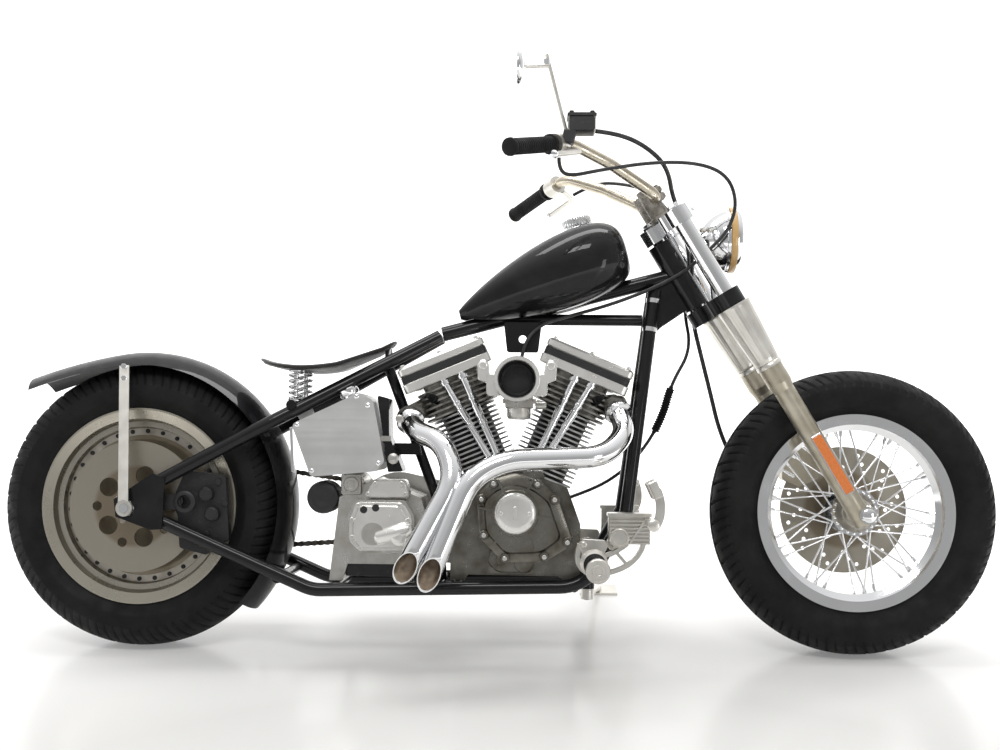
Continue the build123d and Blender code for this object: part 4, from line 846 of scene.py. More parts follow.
cover.append(slab(rounded([(-188, 348), (-198, 384), (-268, 384), (-286, 348)], 8), -128, -134, 2))
cover += screws([(x, -133, z) for x, z in top_bolts], to_right, cap_screw, 16)
joined("gearbox_cover", cover, polished_alloy, "chassis", "polished_aluminium")
# two thin black discs on the side cover are painted holes: painted shade that stands in for the dark inside
# two holes
black_pieces_and_painted_holes = screws([(-284, -155.6, 322), (-258, -155.6, 326)], to_right, [(0, 8), (0.7, 8)], 24)
black_pieces_and_painted_holes.append(slab(rounded([(-330, 172), (-222, 172), (-222, 200), (-330, 200)], 4), -40, -96, 2))
filter_can = [(0, 33), (3, 35.6)]
for rib in range(7):
    filter_can += [(8 + 8 * rib, 36.2), (11 + 8 * rib, 35.3)]
filter_can += [(66, 36.2), (73, 33), (76, 26), (76, 18), (74, 12)]
black_pieces_and_painted_holes.append(solid_of_turning(filter_can, (-381.3, -36, 345), to_right, 48))
joined("filter_can", black_pieces_and_painted_holes, enamel_black, "chassis", "black_alloy", "oil_filter")
starter = [slab(rounded([(-340, 398), (-340, 352), (-294, 352), (-294, 398)], 6), -104, -120, 2.5),
           solid_of_turning([(0, 17), (4, 17), (6, 15), (6, 9), (4, 8)], (-317, -119, 375), to_right),
           ring_of_turning([(-96, 24), (-96, 25.6), (-70, 25.6), (-70, 24)], (-316, 0, 374), to_left)]
starter += screws([(x, -119, z) for x in (-334, -300) for z in (358, 392)], to_right, cap_screw)
joined("starter_end", starter, cast_alloy, "chassis", "cast_aluminium")


def belt_ring(first, first_radius, second, second_radius, count=24):
    """The outline round two circles: each keeps the arc that faces away from the other, the straight
    sides being tangents at the angle tilt +- acos((r1 - r2) / distance) from the line of centres."""
    first, second = np.array(first, float), np.array(second, float)
    gap = second - first
    tilt, lead = np.arctan2(gap[1], gap[0]), np.arccos((first_radius - second_radius) / np.hypot(*gap))
    far = tilt + np.linspace(-lead, lead, count)
    near = tilt + np.linspace(lead, 2 * pi - lead, count)
    return np.concatenate([second + second_radius * np.stack([np.cos(far), np.sin(far)], 1),
                           first + first_radius * np.stack([np.cos(near), np.sin(near)], 1)])


clutch_x, clutch_z = clutch_at = (-235, 292)
crank_at = (crank_x, crank_z)
lid = [slab(belt_ring(clutch_at, 101, crank_at, 77), 168, 174, 2),
       slab(belt_ring(clutch_at, 84, crank_at, 60), 173, 178, 3)]
edge_bolts = [(x, 173.5, z) for x, z in belt_ring(clutch_at, 93, crank_at, 69, 8)[::2]]
clutch_bolts = [(clutch_x + 52 * cos(a), 184, clutch_z + 52 * sin(a)) for a in np.radians(range(0, 360, 72))]
clutch_dome = [(0, 62), (2, 62), (7, 58), (9, 50), (9.6, 20)]
lid += screws(edge_bolts, to_left, cap_screw)
lid += [solid_of_turning(clutch_dome, (clutch_x, 176, clutch_z), to_left, 64),
        solid_of_turning([(0, 34), (2, 34), (6, 31), (7, 12)], (crank_x, 176, crank_z), to_left, 48)]
lid += screws(clutch_bolts, to_left, cap_screw)
joined("primary_lid", lid, polished_alloy, "chassis", "polished_aluminium")


# ---- Oil tank and battery ------------------------------------------------------------
# The oil tank is a tilted box of brushed aluminium with its filler on top. The battery
# sits ahead of it in a black case under a strap.
def brushed_sheet(place):
    """Aluminium sheet brushed one way: stretched streaks in the roughness and the bump, and a few smudges."""
    streaks = place.node("Mapping", {"Vector": place, "Scale": (3, 3, 160)}).noise(1, 3)
    return {"Base Color": place.noise(9, 5).between((0.76, 0.76, 0.75), (0.64, 0.64, 0.63)), "Metallic": 0.9,
            "Roughness": 0.34 + streaks * 0.05, "Normal": streaks.bump(0.02, 0.0001)}


brushed = material("brushed_sheet", brushed_sheet)
dress(brushed, "oil_tank")
filler = [solid_of_turning([(0, 17), (6, 17), (6, 20), (9, 22), (20, 22), (22, 20), (22, 8)],
                           (-322, -98, 566), (-0.42, 0, 0.9), 40),
          slab([(-446, 500), (-452, 498), (-446, 402), (-440, 400)], -134.5, -138.5, 1)]
joined("oil_filler", filler, chrome, "chassis", "chrome")
rivets = [(x, -134.8, z) for x, z in ((-436, 505), (-306, 568), (-281, 548), (-256, 422), (-402, 404))]
rivet_head = [(0, 6), (1.5, 6), (3.6, 4.6), (4.4, 2)]
joined("tank_rivets", screws(rivets, to_right, rivet_head, 20), chrome, "chassis", "chrome")
strap_parts = [slab([(-232, 470), (-232, 482), (-268, 482), (-268, 470)], -109, -113, 1),
               solid_of_turning([(0, 9), (8, 9), (9, 7)], (-214, -104, 520), to_right, 24),
               solid_of_turning([(0, 12), (10, 12), (12, 9)], (-226, -106, 432), to_right, 28)]
joined("battery_strap", strap_parts, cast_alloy, "chassis", "cast_aluminium")

# ---- Fork --------------------------------------------------------------------------
# Fork legs raked at 31 degrees: warm-grey sliders, fluted silver shrouds that widen
# upwards, bright tubes, a chromed top clamp and a black lower one. Each slider carries an
# amber reflector, and the left one the brake caliper.
rake = radians(31)
fork_ahead, fork_up = np.array((cos(rake), 0, sin(rake))), np.array((-sin(rake), 0, cos(rake)))
fork_foot = np.array((front_axle_x, 0, tyre_radius)) - 61 * fork_ahead


def on_fork(points):
    """Points given as (ahead of the steering axis, y, up along it)."""
    points = np.asarray(points, float)
    return fork_foot + points[..., :1] * fork_ahead + points[..., 1:2] * (0, 1, 0) + points[..., 2:] * fork_up


def leant(part):
    """A part drawn upright, moved so that its x, y and z run ahead, across and up the fork."""
    return on_fork(part[0]), part[1]


def blasted_metal(place):
    """Warm-grey aluminium, blasted to a fine even grain, browner in soft clouds."""
    return {"Base Color": place.noise(20, 5).between((0.55, 0.51, 0.42), (0.40, 0.36, 0.28)), "Metallic": 0.9,
            "Roughness": 0.32 + place.noise(60) * 0.12, "Normal": place.noise(900, 2).bump(0.12, 0.0005)}


def silver_metal(place):
    """Satin silver plate, softly clouded."""
    return {"Base Color": place.noise(16, 4).between((0.76, 0.74, 0.69), (0.62, 0.60, 0.55)), "Metallic": 0.9,
            "Roughness": 0.28 + place.noise(50) * 0.1, "Normal": place.noise(300, 2).bump(0.03)}


def amber_plastic(place):
    """Amber prisms: a fine grid of bumps under a clear face."""
    cells = place.node("TexVoronoi", {"Vector": place, "Scale": 420})
    return {"Base Color": cells.between((0.62, 0.13, 0.015), (0.80, 0.24, 0.04)),
            "Roughness": 0.16 + cells * 0.1, "Coat Weight": 1, "Normal": cells.bump(0.5, 0.0008)}


blasted, silver = material("blasted", blasted_metal), material("silver", silver_metal)
amber = material("amber", amber_plastic)
dress(blasted, "fork_sliders", "front_brake_caliper")
dress(enamel_black, "rear_brake_caliper")
dress(chrome, "fork_tubes", "fork_top_clamp", "front_axle", "rear_axle")
upwards, leg_ahead, leg_out = (0, 0, 1), 50, 118
flutes, flute_depth, flutes_from, flutes_to = 24, 0.55, 396, 532  # the last two up the fork
angle = np.linspace(0, 2 * pi, flutes * 8, endpoint=False)
lower_rows = [(391.4, 21), (391.4, 27), (393, 28.2)]
fluted_rows = [(s, 28.2 + 9.8 * ((s - 393) / 137) ** 0.9) for s in np.linspace(402, 530, 27)]
upper_rows = [(533, 38.4), (536, 38), (536.4, 35), (534, 33), (520, 31), (430, 25), (410, 21)]
shrouds = []
for side in (-1, 1):
    skin, leg = [], (leg_ahead, side * leg_out, 0)
    for row in lower_rows + fluted_rows + upper_rows:
        s, radius = row
        fade = np.clip(min(s - flutes_from, flutes_to - s) / 14, 0, 1)
        depth = flute_depth * fade if row in fluted_rows else 0
        reach = radius - depth * (0.5 - 0.5 * np.cos(flutes * angle)) ** 1.5
        ahead, across = leg[0] + reach * np.cos(angle), leg[1] + reach * np.sin(angle)
        skin.append(np.stack([ahead, across, np.full_like(angle, s)], 1))
    shrouds += [leant((np.stack(skin), grid_faces(len(skin), len(angle), looped=True))),
                leant(ring_of_turning([(380, 27.2), (381, 29.3), (389, 29.3), (391, 27.2)], leg, upwards))]
joined("fluted_shrouds", shrouds, silver, "steering", "cast_aluminium", "fork_shrouds", sharp=50)

axle_cap = [(0, 18), (2, 18), (2, 15), (10, 15), (12, 12)]
caps = []
for side in (-1, 1):
    leg = (leg_ahead, side * leg_out, 0)
    caps += [leant(solid_of_turning([(782, 18), (789, 18), (791, 15)], leg, upwards, 40)),
             leant(solid_of_turning([(790, 13), (797, 13), (799, 11), (800, 6)], leg, upwards, 6)),
             solid_of_turning(axle_cap, (front_axle_x, side * 142, tyre_radius), (0, side, 0),
                              6 if side > 0 else 36)]
    caps += screws([on_fork((72, side * y, 10)) for y in (108, 128)], fork_ahead, cap_screw)
stem_nut = [(785, 19), (792, 19), (793, 15), (799, 14), (801, 9)]
caps.append(leant(solid_of_turning(stem_nut, (0, 0, 0), upwards, 6)))
pinch_bolts = screws([(82, side * leg_out, 768) for side in (-1, 1)], forwards, cap_screw, 14)
caps += [leant(bolt) for bolt in pinch_bolts]
joined("fork_caps", caps, chrome, "steering", "chrome")

reflectors, frames = [], []
for side in (-1, 1):
    for parts, half, end, low, high, corner in ((frames, 12.5, 4, 140.4, 144.5, 4),
                                                (reflectors, 10.5, 1, 142, 147.5, 3)):
        outline = rounded(tapered(52.7, half, half, 64 - end, 202 + end), corner)
        parts.append(leant(slab(outline, side * low, side * high, 1)))
joined("amber_reflectors", reflectors, amber, "steering", "rubber")
joined("reflector_frames", frames, chrome, "steering", "chrome")
hex_head = [(0, 6), (0.1, 7.2), (5, 7.2), (5.8, 6.2)]
brake_trim = screws([(700, 95.4, 440), (704, 95.4, 406)], to_left, [(0, 17), (4, 17), (6, 14)], 32)
brake_trim += screws([(674, 95, 458), (676, 95, 400), (730, 95, 452)], to_left, hex_head, 6)
joined("front_caliper_trim", brake_trim, silver, "steering", "cast_aluminium")
piston_boss = [(0, 16), (20, 16), (24, 12)]
boot = [(-126, 15), (-126, 21), (-124, 24), (-117.6, 22), (-117.6, 13)]
rear_trim = [ring_of_turning(boot, (-685, 0, 333), to_left)]
rear_trim += screws([(-640, -100, 350), (-626, -100, 306)], to_right, piston_boss, 36)
rear_trim += screws([(-616, -101, 376), (-600, -101, 330), (-640, -101, 262)], to_right, hex_head, 6)
joined("rear_caliper_trim", rear_trim, enamel_black, "chassis", "black_alloy")
axle_nut = [(0, 19), (2, 19), (2, 15), (12, 15), (14, 11)]
nuts = [solid_of_turning(axle_nut, (rear_axle_x, side * 150.5, tyre_radius), (0, side, 0), 6)
        for side in (-1, 1)]
joined("rear_axle_nuts", nuts, chrome, "chassis", "chrome")


# ---- Bars and hand controls ----------------------------------------------------------
# Wide bars with a warm nickel finish stand on rough-cast risers. The grips are ribbed
# rubber. The right hand has the brake's reservoir and the mirror, the left the clutch.
def warm_nickel(place):
    """Brushed nickel with a champagne tone and soft darker smears."""
    return {"Base Color": place.noise(18, 5).between((0.66, 0.60, 0.49), (0.50, 0.45, 0.36)), "Metallic": 1,
            "Roughness": 0.2 + place.noise(60) * 0.15, "Normal": place.noise(400, 2).bump(0.05)}


def rough_casting(place):
    """Sand-cast grey metal, coarse and matt."""
    return {"Base Color": place.noise(60, 5).between((0.40, 0.38, 0.34), (0.22, 0.20, 0.17)),
            "Metallic": 0.85, "Roughness": 0.48 + place.noise(120) * 0.15,
            "Normal": place.noise(330, 4).bump(0.5, 0.0012)}


def mirror_face(place):
    """Silvered glass, faintly smeared."""
    return {"Base Color": (0.85, 0.87, 0.88, 1), "Metallic": 1, "Roughness": 0.02 + place.noise(30) * 0.04}


nickel, rough_cast = material("warm_nickel", warm_nickel), material("rough_cast", rough_casting)
dress(nickel, "handlebar")
dress(rough_cast, "handlebar_risers")
dress(silver, "hand_controls")
bar_at, riser_out = on_fork((35.27, 0, 836.74)), 44
clamps = []
for side in (-1, 1):
    for low, high in ((826, 842), (843, 858)):
        outline = rounded([(10, low), (61, low), (61, high), (10, high)], 6)
        clamps.append(leant(slab(outline, side * riser_out - 16, side * riser_out + 16, 3)))
    places, foot = [(ahead, side * riser_out, 857) for ahead in (17, 54)], (27, side * riser_out, 0)
    clamps += [leant(part) for part in screws(places, upwards, cap_screw, 14)]
    clamps.append(leant(ring_of_turning([(787, 20), (788, 25), (796, 25), (798, 21)], foot, upwards, 40)))
joined("riser_clamps", clamps, rough_cast, "steering", "cast_aluminium")
grips = []
for side in (-1, 1):
    outer, inner = bar_at + (-322, side * 380, 40), bar_at + (-234, side * 245, 78)
    length = np.linalg.norm(inner - outer)
    profile = [(-5, 6), (-4.5, 15), (-2, 18.5), (3, 19), (5, 17.4)]
    for rib in range(20):
        start = 8 + rib * (length - 26) / 20
        profile += [(start, 17.2), (start + 1.2, 15.9), (start + 3.4, 15.9), (start + 4.6, 17.2)]
    profile += [(length - 16, 17.4), (length - 14, 21.5), (length - 8, 22), (length - 6, 18),
                (length, 17), (length, 13)]
    grips.append(solid_of_turning(profile, outer, inner - outer, 40))
joined("ribbed_grips", grips, black_rubber, "steering", "rubber", "grips")
box_x, box_z = (bar_at + (-172, -220, 126))[[0, 2]]
# the reservoir's cup, its lid and its neck: (corners, their radius, y from, y to, edge)
box_slabs = ((tapered(0, 29, 29, -19, 14), 6, -246.5, -193.5, 3),
             (tapered(0, 31, 31, 13, 20), 3, -249, -191, 2),
             ([(-44, -42), (-18, -46), (-10, -16), (-38, -14)], 5, -246, -214, 3))
box = []
for corners, corner, y_from, y_to, edge in box_slabs:
    outline = rounded([(box_x + x, box_z + z) for x, z in corners], corner)
    box.append(slab(outline, y_from, y_to, edge))
box += screws([(box_x + x, y, box_z + 19) for x in (-22, 22) for y in (-240, -200)], upwards, cap_screw)
joined("reservoir", box, enamel_black, "steering", "black_alloy")
lever_knob = [(-9, 2), (-7.5, 6.5), (-2, 9.2), (4, 8), (9, 6)]
mirror_shell = [(-4.4, 36.5), (-3.6, 39.6), (1, 39.8), (6, 36), (11, 25), (14, 10), (15, 3)]
mirror_at, joint_at = bar_at + (-306, -282, 233), bar_at + (-248, -240, 255)
hand_trim = []
for side in (-1, 1):
    knob_at = bar_at + (-232, side * 350, 32)
    hand_trim.append(solid_of_turning(lever_knob, knob_at, (16.8, -side * 88, 26), 24))
    hand_trim += screws([bar_at + (-213, side * 222, 100)], upwards, cap_screw)
hand_trim += [solid_of_turning(mirror_shell, mirror_at, forwards, 56),
              solid_of_turning([(-7, 3), (-6, 7.5), (6, 7.5), (7, 3)], joint_at, upwards, 24)]
joined("mirror_and_levers", hand_trim, chrome, "steering", "chrome")
joined("mirror_face", [solid_of_turning([(-4.9, 35.6), (-4.2, 36.2)], mirror_at, forwards, 56)],
       material("mirror_face", mirror_face), "steering", "chrome")


# ---- Headlamp ------------------------------------------------------------------------
# A chromed bullet lamp on the fork, with an ochre band behind its rim and a domed lens of
# pressed glass with upright flutes.
def lamp_lens(place):
    """Pale pressed glass over a bright bowl, with upright flutes in its bump, and the flutes painted into its
    colour as light and dark bands, a painted reflection.
    """
    flutes = place.node("TexWave", {"Vector": place, "Scale": 55}, bands_direction="Y")
    # painted reflection: the flutes' light and dark bands are painted into the base colour
    return {"Base Color": flutes.between((0.80, 0.82, 0.84), (0.60, 0.63, 0.66)), "Metallic": 0.6,
            "Roughness": 0.06 + flutes * 0.06, "Coat Weight": 1, "Normal": flutes.bump(0.25, 0.001)}


def ochre_plastic(place):
    """A pale ochre moulding, a little clouded under its gloss."""
    return {"Base Color": place.noise(40, 3).between((0.66, 0.42, 0.16), (0.56, 0.34, 0.12)),
            "Roughness": 0.25 + place.noise(60) * 0.1, "Coat Weight": 0.6,
            "Normal": place.noise(200, 2).bump(0.05)}


lamp_at = on_fork((150.38, 0, 667.25))
dress(chrome, "headlamp")
lamp_band = [(-14, 72.8), (-13, 76.6), (-1, 77), (1, 75.5), (1, 72.8)]
bezels = ([(-22, 71), (-21, 75), (-15, 75.6), (-14.4, 71)],
          [(1.2, 67), (1.2, 75), (6, 74), (11, 70.5), (11, 67)])
lens_dome = [(9, 69), (11, 68), (15, 60), (19, 42), (21, 20), (21.4, 5)]
joined("lamp_band", [ring_of_turning(lamp_band, lamp_at, forwards, 72)],
       material("ochre_plastic", ochre_plastic), "steering", "rubber")
joined("lamp_bezel", [ring_of_turning(bezel, lamp_at, forwards, 72) for bezel in bezels],
       chrome, "steering", "chrome")
joined("lamp_lens", [solid_of_turning(lens_dome, lamp_at, forwards, 64)],
       material("lamp_lens", lamp_lens), "steering", "polished_aluminium")

# ---- Fuel tank, fender and seat --------------------------------------------------------
# The tank and the fender are lacquered black. The tank has a chromed screw cap. The seat is
# a thin black leather pad, crowned and piped round its edge, on two coil springs and a hinge.
dress(gloss_black, "fuel_tank", "rear_fender")
dress(silver, "fender_struts")
tank_slope = radians(14.7)
tank_along = np.array((cos(tank_slope), 0, sin(tank_slope)))
tank_up = np.array((-sin(tank_slope), 0, cos(tank_slope)))
tank_tip = np.array((-91, 0, 769))
cap_at = tank_tip + 313 * tank_along
cap = [solid_of_turning([(111, 37), (115, 38), (119, 36), (121, 33)], cap_at, tank_up, 64)]
# the cap's rows, as (up the tank, radius, how deep the knurling cuts it)
cap_rows = ((119, 31, 0), (122, 33, 0), (124, 34.5, 1.6), (138, 34.5, 1.6), (141, 33, 0), (143, 29, 0),
            (143.6, 12, 0))
grooves = 36
angle = np.linspace(0, 2 * pi, grooves * 6, endpoint=False)
knurl = []
for up, radius, cut in cap_rows:
    reach = radius - cut * (np.cos(angle * grooves) < -0.2)
    knurl.append(cap_at + up * tank_up + np.outer(reach * np.cos(angle), tank_along)
                 + np.outer(reach * np.sin(angle), to_left))
cap.append((np.stack(knurl), grid_faces(len(knurl), len(angle), capped=True)))
joined("tank_cap", cap, chrome, "chassis", "chrome")
fender_bolts = []
for side in (-1, 1):
    fender_bolts += screws([(-838, side * 86, 632), (-836, side * 89.5, 606)], (0, side, 0), hex_head, 6)
joined("fender_bolts", fender_bolts, chrome, "chassis", "chrome")


def leather(place):
    """Black leather: a pebbled grain with finer creases, and a shine where it is rubbed."""
    pebbles = place.node("TexVoronoi", {"Vector": place, "Scale": 560}, feature="DISTANCE_TO_EDGE")
    rubbed = place.noise(11, 5, 0.45, 0.7)
    return {"Base Color": rubbed.between((0.013, 0.012, 0.012), (0.030, 0.028, 0.027)),
            "Roughness": 0.46 - rubbed * 0.16 + place.noise(90) * 0.08, "Specular IOR Level": 0.4,
            "Normal": (pebbles * 4 + place.noise(45, 4) * 0.5).bump(0.35, 0.0007)}


seat_leather = material("seat_leather", leather)
# the pad is a belt round two circles, as (middle, radius) twice, drawn in towards one point
pad_belt, rim_belt = ((-420, 0), 121, (-290, 0), 52), ((-420, 0), 122.5, (-290, 0), 53.5)
pad_middle, pad_below_line, seam_share = np.array((-385, 0)), 7, 0.30


def seat_line(x):
    """The seat's top in side view: the circle through its rear, middle and front points, as z at x."""
    (x1, z1), (x2, z2), (x3, z3) = (-546, 662), (-400, 644), (-236, 706)
    d = 2 * (x1 * (z2 - z3) + x2 * (z3 - z1) + x3 * (z1 - z2))
    cx = ((x1**2 + z1**2) * (z2 - z3) + (x2**2 + z2**2) * (z3 - z1) + (x3**2 + z3**2) * (z1 - z2)) / d
    cz = ((x1**2 + z1**2) * (x3 - x2) + (x2**2 + z2**2) * (x1 - x3) + (x3**2 + z3**2) * (x2 - x1)) / d
    return cz - np.sqrt((x1 - cx) ** 2 + (z1 - cz) ** 2 - (x - cx) ** 2)


def seat_swell(share):
    """How far the padding stands up at a share e of the way in from the rim: 9 (1 - (1 - e)^3)."""
    return 9 * (1 - (1 - share) ** 3)


def seat_hollow(x, y):
    """How far the seat sinks under its rider: 5 mm in each of two hollows, 45 mm from the middle."""
    return 5 * np.exp(-(((x + 425) / 60) ** 2 + ((np.abs(y) - 45) / 40) ** 2))


def seat_rise(x):
    """How far the rear edge turns up: 3 mm at the very back."""
    return 3.0 * np.exp(-((x + 545) / 26) ** 2)


def seat_pad():
    """The padded seat, ring by ring inwards from the rim of its plan: the top is the seat's line with the
    swell, the hollows, the rise and a seam's groove, and the underside closes the form below the line."""
    plan = belt_ring(*pad_belt, 40)
    shares = np.concatenate([[0, 0.012, 0.03, 0.06, 0.1], np.linspace(0.14, 0.27, 5),
                             np.linspace(0.28, 0.32, 7), np.linspace(0.36, 0.985, 14)])
    rows = []
    for share in shares:
        xy = plan + (pad_middle - plan) * share
        x, y = xy.T
        swell = seat_swell(share) - 2.2 * np.exp(-((share - seam_share) / 0.012) ** 2)
        z = seat_line(x) - pad_below_line + swell - seat_hollow(x, y) + seat_rise(x)
        rows.append(np.column_stack([xy, z]))
    rows = rows[::-1]
    for share, drop in ((0.01, 12), (0.03, 14), (0.1, 15), (0.5, 15), (0.985, 15)):
        xy = plan + (pad_middle - plan) * share
        rows.append(np.column_stack([xy, seat_line(xy[:, 0]) - drop]))
    return np.stack(rows)


pad = seat_pad()
pad_faces = grid_faces(len(pad), pad.shape[1], capped=True)
seat = joined("leather_seat", [(pad, pad_faces)], seat_leather, "chassis", "leather", "seat", sharp=60)


def swept(path, radius, count=12):
    """A tube along a path, closed at both ends. Its radius may differ from point to point."""
    circles = circles_along(path, count)[1]
    reach = np.broadcast_to(np.asarray(radius, float), len(path))[:, None, None]
    return path[:, None] + reach * circles, grid_faces(len(path), count, capped=True)


rim_line = belt_ring(*rim_belt, 48)
piping = np.column_stack([rim_line, seat_line(rim_line[:, 0]) - 9 + seat_rise(rim_line[:, 0])])
loop = swept(np.concatenate([piping, piping[:1]]), 3.2, 10)[0][:-1]
stitches = belt_ring(*pad_belt, 40)
seam = stitches + (pad_middle - stitches) * seam_share
stitch_pitch, thread_radius = 5, 0.5


def on_seam(x, y):
    """The point in the seam's groove over (x, y)."""
    return np.array((x, y, seat_line(x) - pad_below_line + seat_swell(seam_share) - 1.0 - seat_hollow(x, y)))


thread = []
for start, end in zip(seam, np.roll(seam, -1, 0)):
    count = max(1, int(np.hypot(*(end - start)) // stitch_pitch))
    for step in range(count):
        low, high = (on_seam(*(start + (end - start) * (step + share) / count)) for share in (0.15, 0.8))
        profile = [(0, thread_radius), (np.linalg.norm(high - low), thread_radius)]
        thread.append(solid_of_turning(profile, low, high - low, 6))
piping_faces = grid_faces(len(loop), 10, looped=True)
joined("seat_piping", [(loop, piping_faces)] + thread, seat_leather, "chassis", "leather")

coils, coil_radius, spring_x, spring_out, spring_foot = 6, 15.2, -454, 60, 560.5
turn = np.linspace(0, 2 * pi * coils, 260)
height = 566 + 61 * np.clip((turn - 4) / (turn[-1] - 8), 0, 1)
springs = []
for side in (-1, 1):
    foot = (spring_x, side * spring_out, spring_foot)
    coil = np.stack([foot[0] + coil_radius * np.cos(turn), foot[1] + coil_radius * np.sin(turn), height], 1)
    springs += [swept(coil, 2.8, 10),
                solid_of_turning([(0, 18), (3, 18), (4, 12)], foot, upwards),
                solid_of_turning([(0, 6), (66, 6)], foot, upwards, 16)]
springs.append(solid_of_turning([(0, 9), (29, 9), (32, 7)], (-252, 0, 652), upwards, 24))
joined("coil_springs", springs, chrome, "chassis", "chrome", "seat_springs")

# ---- Foot controls and side stand --------------------------------------------------------
# Forward pegs of polished aluminium, ringed with rubber, stand on open brackets under a finned
# block with a round boss. Each side's pedal rises ahead of its block. The stand is bright steel.
dress(silver, "side_stand")
peg_x, peg_z, peg_end = 214, 214, 330


def strap(path, width, y_from, y_to, edge=1.5):
    """A flat bar standing along the bike that follows an (x, z) path, half its width to each side."""
    path = np.array(path, float)
    way = np.gradient(path, axis=0)
    way /= np.linalg.norm(way, axis=1, keepdims=True)
    across = np.stack([-way[:, 1], way[:, 0]], 1) * width / 2
    return slab(np.concatenate([path + across, (path - across)[::-1]]), y_from, y_to, edge)


def curve(start, corner, end, count=9):
    """The quadratic curve between two (x, z) points that leans on a corner."""
    return leaning(np.linspace(0, 1, count)[:, None], *np.array((start, corner, end)))


def foot_control(side):
    """The metal of one side, at y = side times what is given here, outwards."""
    out = (0, side, 0)
    block = [slab(rounded([(246, 254), (334, 254), (334, 318), (246, 318)], 3), side * 128, side * 162, 1),
             slab(rounded([(243, 313), (337, 313), (337, 321), (243, 321)], 2), side * 126, side * 172, 1)]
    block += [slab([(248, z), (334, z), (334, z + 3.6), (248, z + 3.6)], side * 160, side * 171, 0.6)
              for z in range(255, 308, 8)]
    block += [strap([(290, 256), (326, 311)], 5, side * 160, side * 172.4, 1),
              solid_of_turning([(0, 21), (14, 21), (16, 19), (16, 16), (14.5, 15), (14.5, 3)],
                               (268, side * 160, 268), out, 48)]
    bracket = [strap(curve((322, 258), (306, 196), (peg_x, 188)), 9, side * 150, side * 168),
               strap(curve((286, 256), (266, 236), (peg_x, 222)), 9, side * 150, side * 168),
               strap([(262, 237), (284, 212)], 7, side * 152, side * 166),
               slab(rounded([(181, 258), (190, 264), (240, 262), (244, 250), (232, 228), (192, 220)], 5),
                    side * 146, side * 172),
               strap(curve((184, 254), (166, 206), (206, 190)), 11, side * 148, side * 170),
               solid_of_turning([(0, 7), (3, 7), (4, 5.5)], (192, side * 171, 254), out, 6),
               solid_of_turning([(0, 14), (50, 14)], (258, side * 80, 252), out, 32)]
    peg = [solid_of_turning([(0, 28), (3, 30), (28, 30), (32, 26), (36, 21), (175, 21)],
                            (peg_x, side * 144, peg_z), out, 48),
           solid_of_turning([(0, 22), (3, 25.5), (9, 25.5), (12, 23), (12, 21), (10.6, 20), (10.6, 12.5),
                             (12.4, 12), (12.4, 9), (10, 8.4)],
                            (peg_x, side * (peg_end - 10), peg_z), out, 48)]
    arm = [strap(curve((334, 300), (356, 332), (337, 376), 12), 19, side * 262, side * 270),
           solid_of_turning([(0, 9), (106, 9), (108, 13), (120, 13), (122, 10)],
                            (331, side * 156, 303), out, 28)]
    pedal_at, pedal_lean, half_thick, half_high = np.array((331, side * 280, 378)), radians(25), 9, 18
    tread_up = np.array((-sin(pedal_lean), 0, cos(pedal_lean)))
    tread_out = np.array((-cos(pedal_lean), 0, -sin(pedal_lean)))
    corners = [pedal_at - a * half_thick * tread_out + b * half_high * tread_up
               for a, b in ((-1, -1), (1, -1), (1, 1), (-1, 1))]
    pedal = slab([(x, z) for x, _, z in corners], side * 245, side * 315, 2)
    places = [pedal_at + tread_out * half_thick + (0, step, 0) for step in range(-26, 27, 13)]
    treads = screws(places, tread_up, [(-17, 2), (-16, 3.2), (16, 3.2), (17, 2)], 10)
    return block + bracket + peg + arm + [pedal] + treads


fittings = foot_control(-1) + foot_control(1)
joined("foot_fittings", fittings, silver, "chassis", "cast_aluminium", "foot_controls")
peg_ring = [(-4, 21), (-3, 24), (3, 24), (4, 21)]
rings = [ring_of_turning(peg_ring, (peg_x, side * (210 + 13 * k), peg_z), to_left, 40)
         for side in (-1, 1) for k in range(9)]
joined("peg_rings", rings, black_rubber, "chassis", "rubber")


# ---- Cables and hose ---------------------------------------------------------------------
# Black sheathed cables run forward off the bars and back under the tank. The clutch cable has a
# ribbed boot where it leaves the right side of the frame.
def sheath(place):
    """Black vinyl sheathing with a dull sheen, scuffed lighter in places."""
    return {"Base Color": place.noise(50, 4, 0.5, 0.8).between((0.010, 0.010, 0.011), (0.040, 0.040, 0.040)),
            "Roughness": 0.36 + place.noise(200) * 0.16, "Normal": place.noise(900, 2).bump(0.1, 0.0004)}


def smooth_line(corners, steps=9):
    """The quadratic B-spline of these control points: between the middles of two neighbouring runs it is the
    quadratic curve that leans on the corner between them, and it starts and ends on the end points."""
    corners = np.array(corners, float)
    middles = (corners[:-1] + corners[1:]) / 2
    middles[0], middles[-1] = corners[0], corners[-1]
    t = np.linspace(0, 1, steps)[None, :, None]
    runs = leaning(t, middles[:-1, None], corners[1:-1, None], middles[1:, None])
    return np.concatenate([runs[0], runs[1:, 1:].reshape(-1, 3)])


vinyl = material("vinyl_sheath", sheath)


def fork_point(ahead, y, up):
    """One point of a route, given in the fork's frame."""
    return tuple(on_fork((ahead, y, up)))


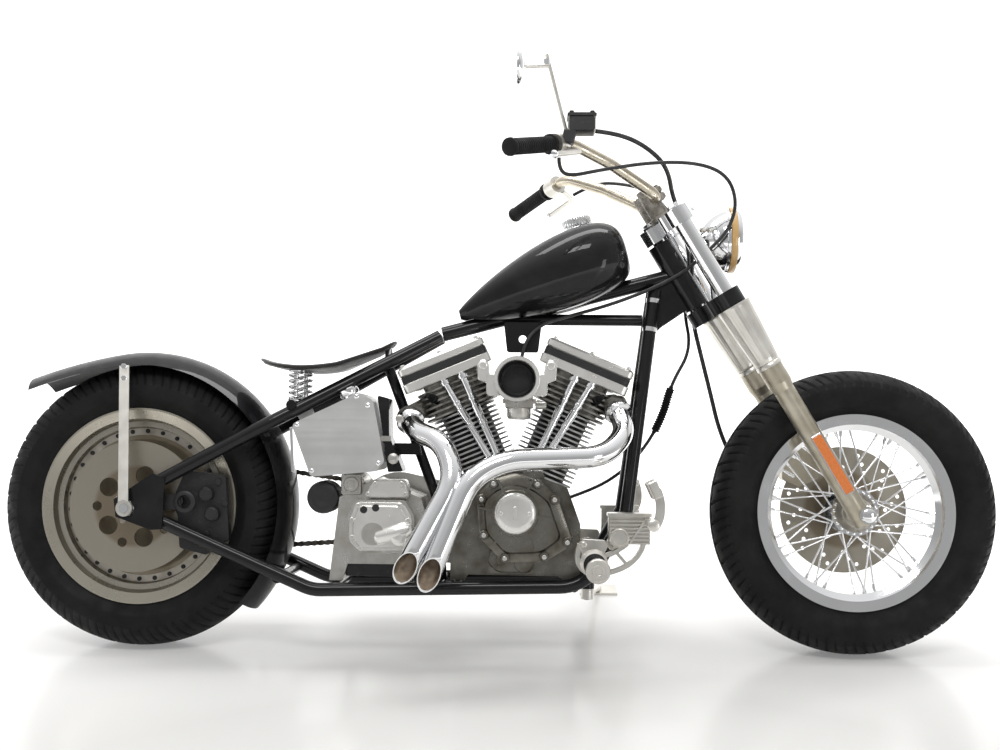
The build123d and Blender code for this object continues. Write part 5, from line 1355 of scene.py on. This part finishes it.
hose_route = [(210.8, -205, 1140), (262, -184, 1140), (325, -150, 1120), (376, -108, 1084),
              fork_point(70, -50, 812), fork_point(70, -34, 740), fork_point(56, 40, 680),
              fork_point(20, 48, 625), fork_point(-16, 46, 560), fork_point(-44, 46, 470),
              fork_point(-66, 62, 390), fork_point(-92, 80, 300), fork_point(-100, 82, 215),
              fork_point(-64, 84, 158), (659.6, 86, 418)]
throttle_route = [(132, -224, 1078), (132, -222, 1052), (156, -214, 1040), (221, -200, 1057),
                  (340, -160, 1084), (446, -120, 1091), (510, -100, 1068), (532, -94, 1010), (516, -90, 950),
                  (474, -84, 905), fork_point(18, -66, 660), fork_point(-34, -56, 660), (330, -44, 812),
                  (250, -40, 782), (160, -44, 756), (96, -70, 736), (58, -84, 690), (52, -84, 640.4)]
clutch_route = [(178, 222, 1086), (230, 200, 1112), (296, 150, 1100), (356, 104, 1074),
                fork_point(74, 72, 800), fork_point(72, 66, 720), fork_point(34, 70, 650),
                fork_point(-18, 72, 590), fork_point(-50, 66, 500), (404, 60, 610), (384, 66, 530),
                (340, 90, 450), (276, 112, 386), (196, 130, 346), (98.2, 139, 313.4)]
clutch_line = smooth_line(clutch_route, 30)
gone = np.concatenate([[0], np.cumsum(np.linalg.norm(np.diff(clutch_line, axis=0), axis=1))])
boot_start = gone[np.argmin(np.linalg.norm(clutch_line - (402, 61, 604), axis=1))]
boot_long, rib_pitch = 118, 6
along = np.arange(0, boot_long, 1.5)
boot_line = np.stack([np.interp(boot_start + along, gone, clutch_line[:, axis]) for axis in range(3)], 1)
ribs = np.where((along > 5) & (along < boot_long - 6), 8.2 + 2.2 * (along % rib_pitch < rib_pitch / 2), 5.2)
joined("cable_boot", [swept(boot_line, ribs, 20)], black_rubber, "chassis", "rubber")
joined("brake_hose", [swept(smooth_line(hose_route), 5)], vinyl, "steering", "rubber", "front_brake_hose")


def steered_cable(name, route, radius, node, reach):
    """A cable swept along a smooth line through its route, which takes the place of a CAD node and hides it.
    """
    points, faces = swept(smooth_line(route), radius)
    piece = mesh_piece(name, stood(points), faces, vinyl)
    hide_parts(node)
    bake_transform(piece)


steered_cable("throttle_line", throttle_route, 4, "throttle_cable",
              (fork_point(-40, -50, 600), fork_point(40, -90, 700)))
steered_cable("clutch_line", clutch_route, 4, "clutch_cable",
              (fork_point(-50, 66, 480), fork_point(60, 66, 700)))
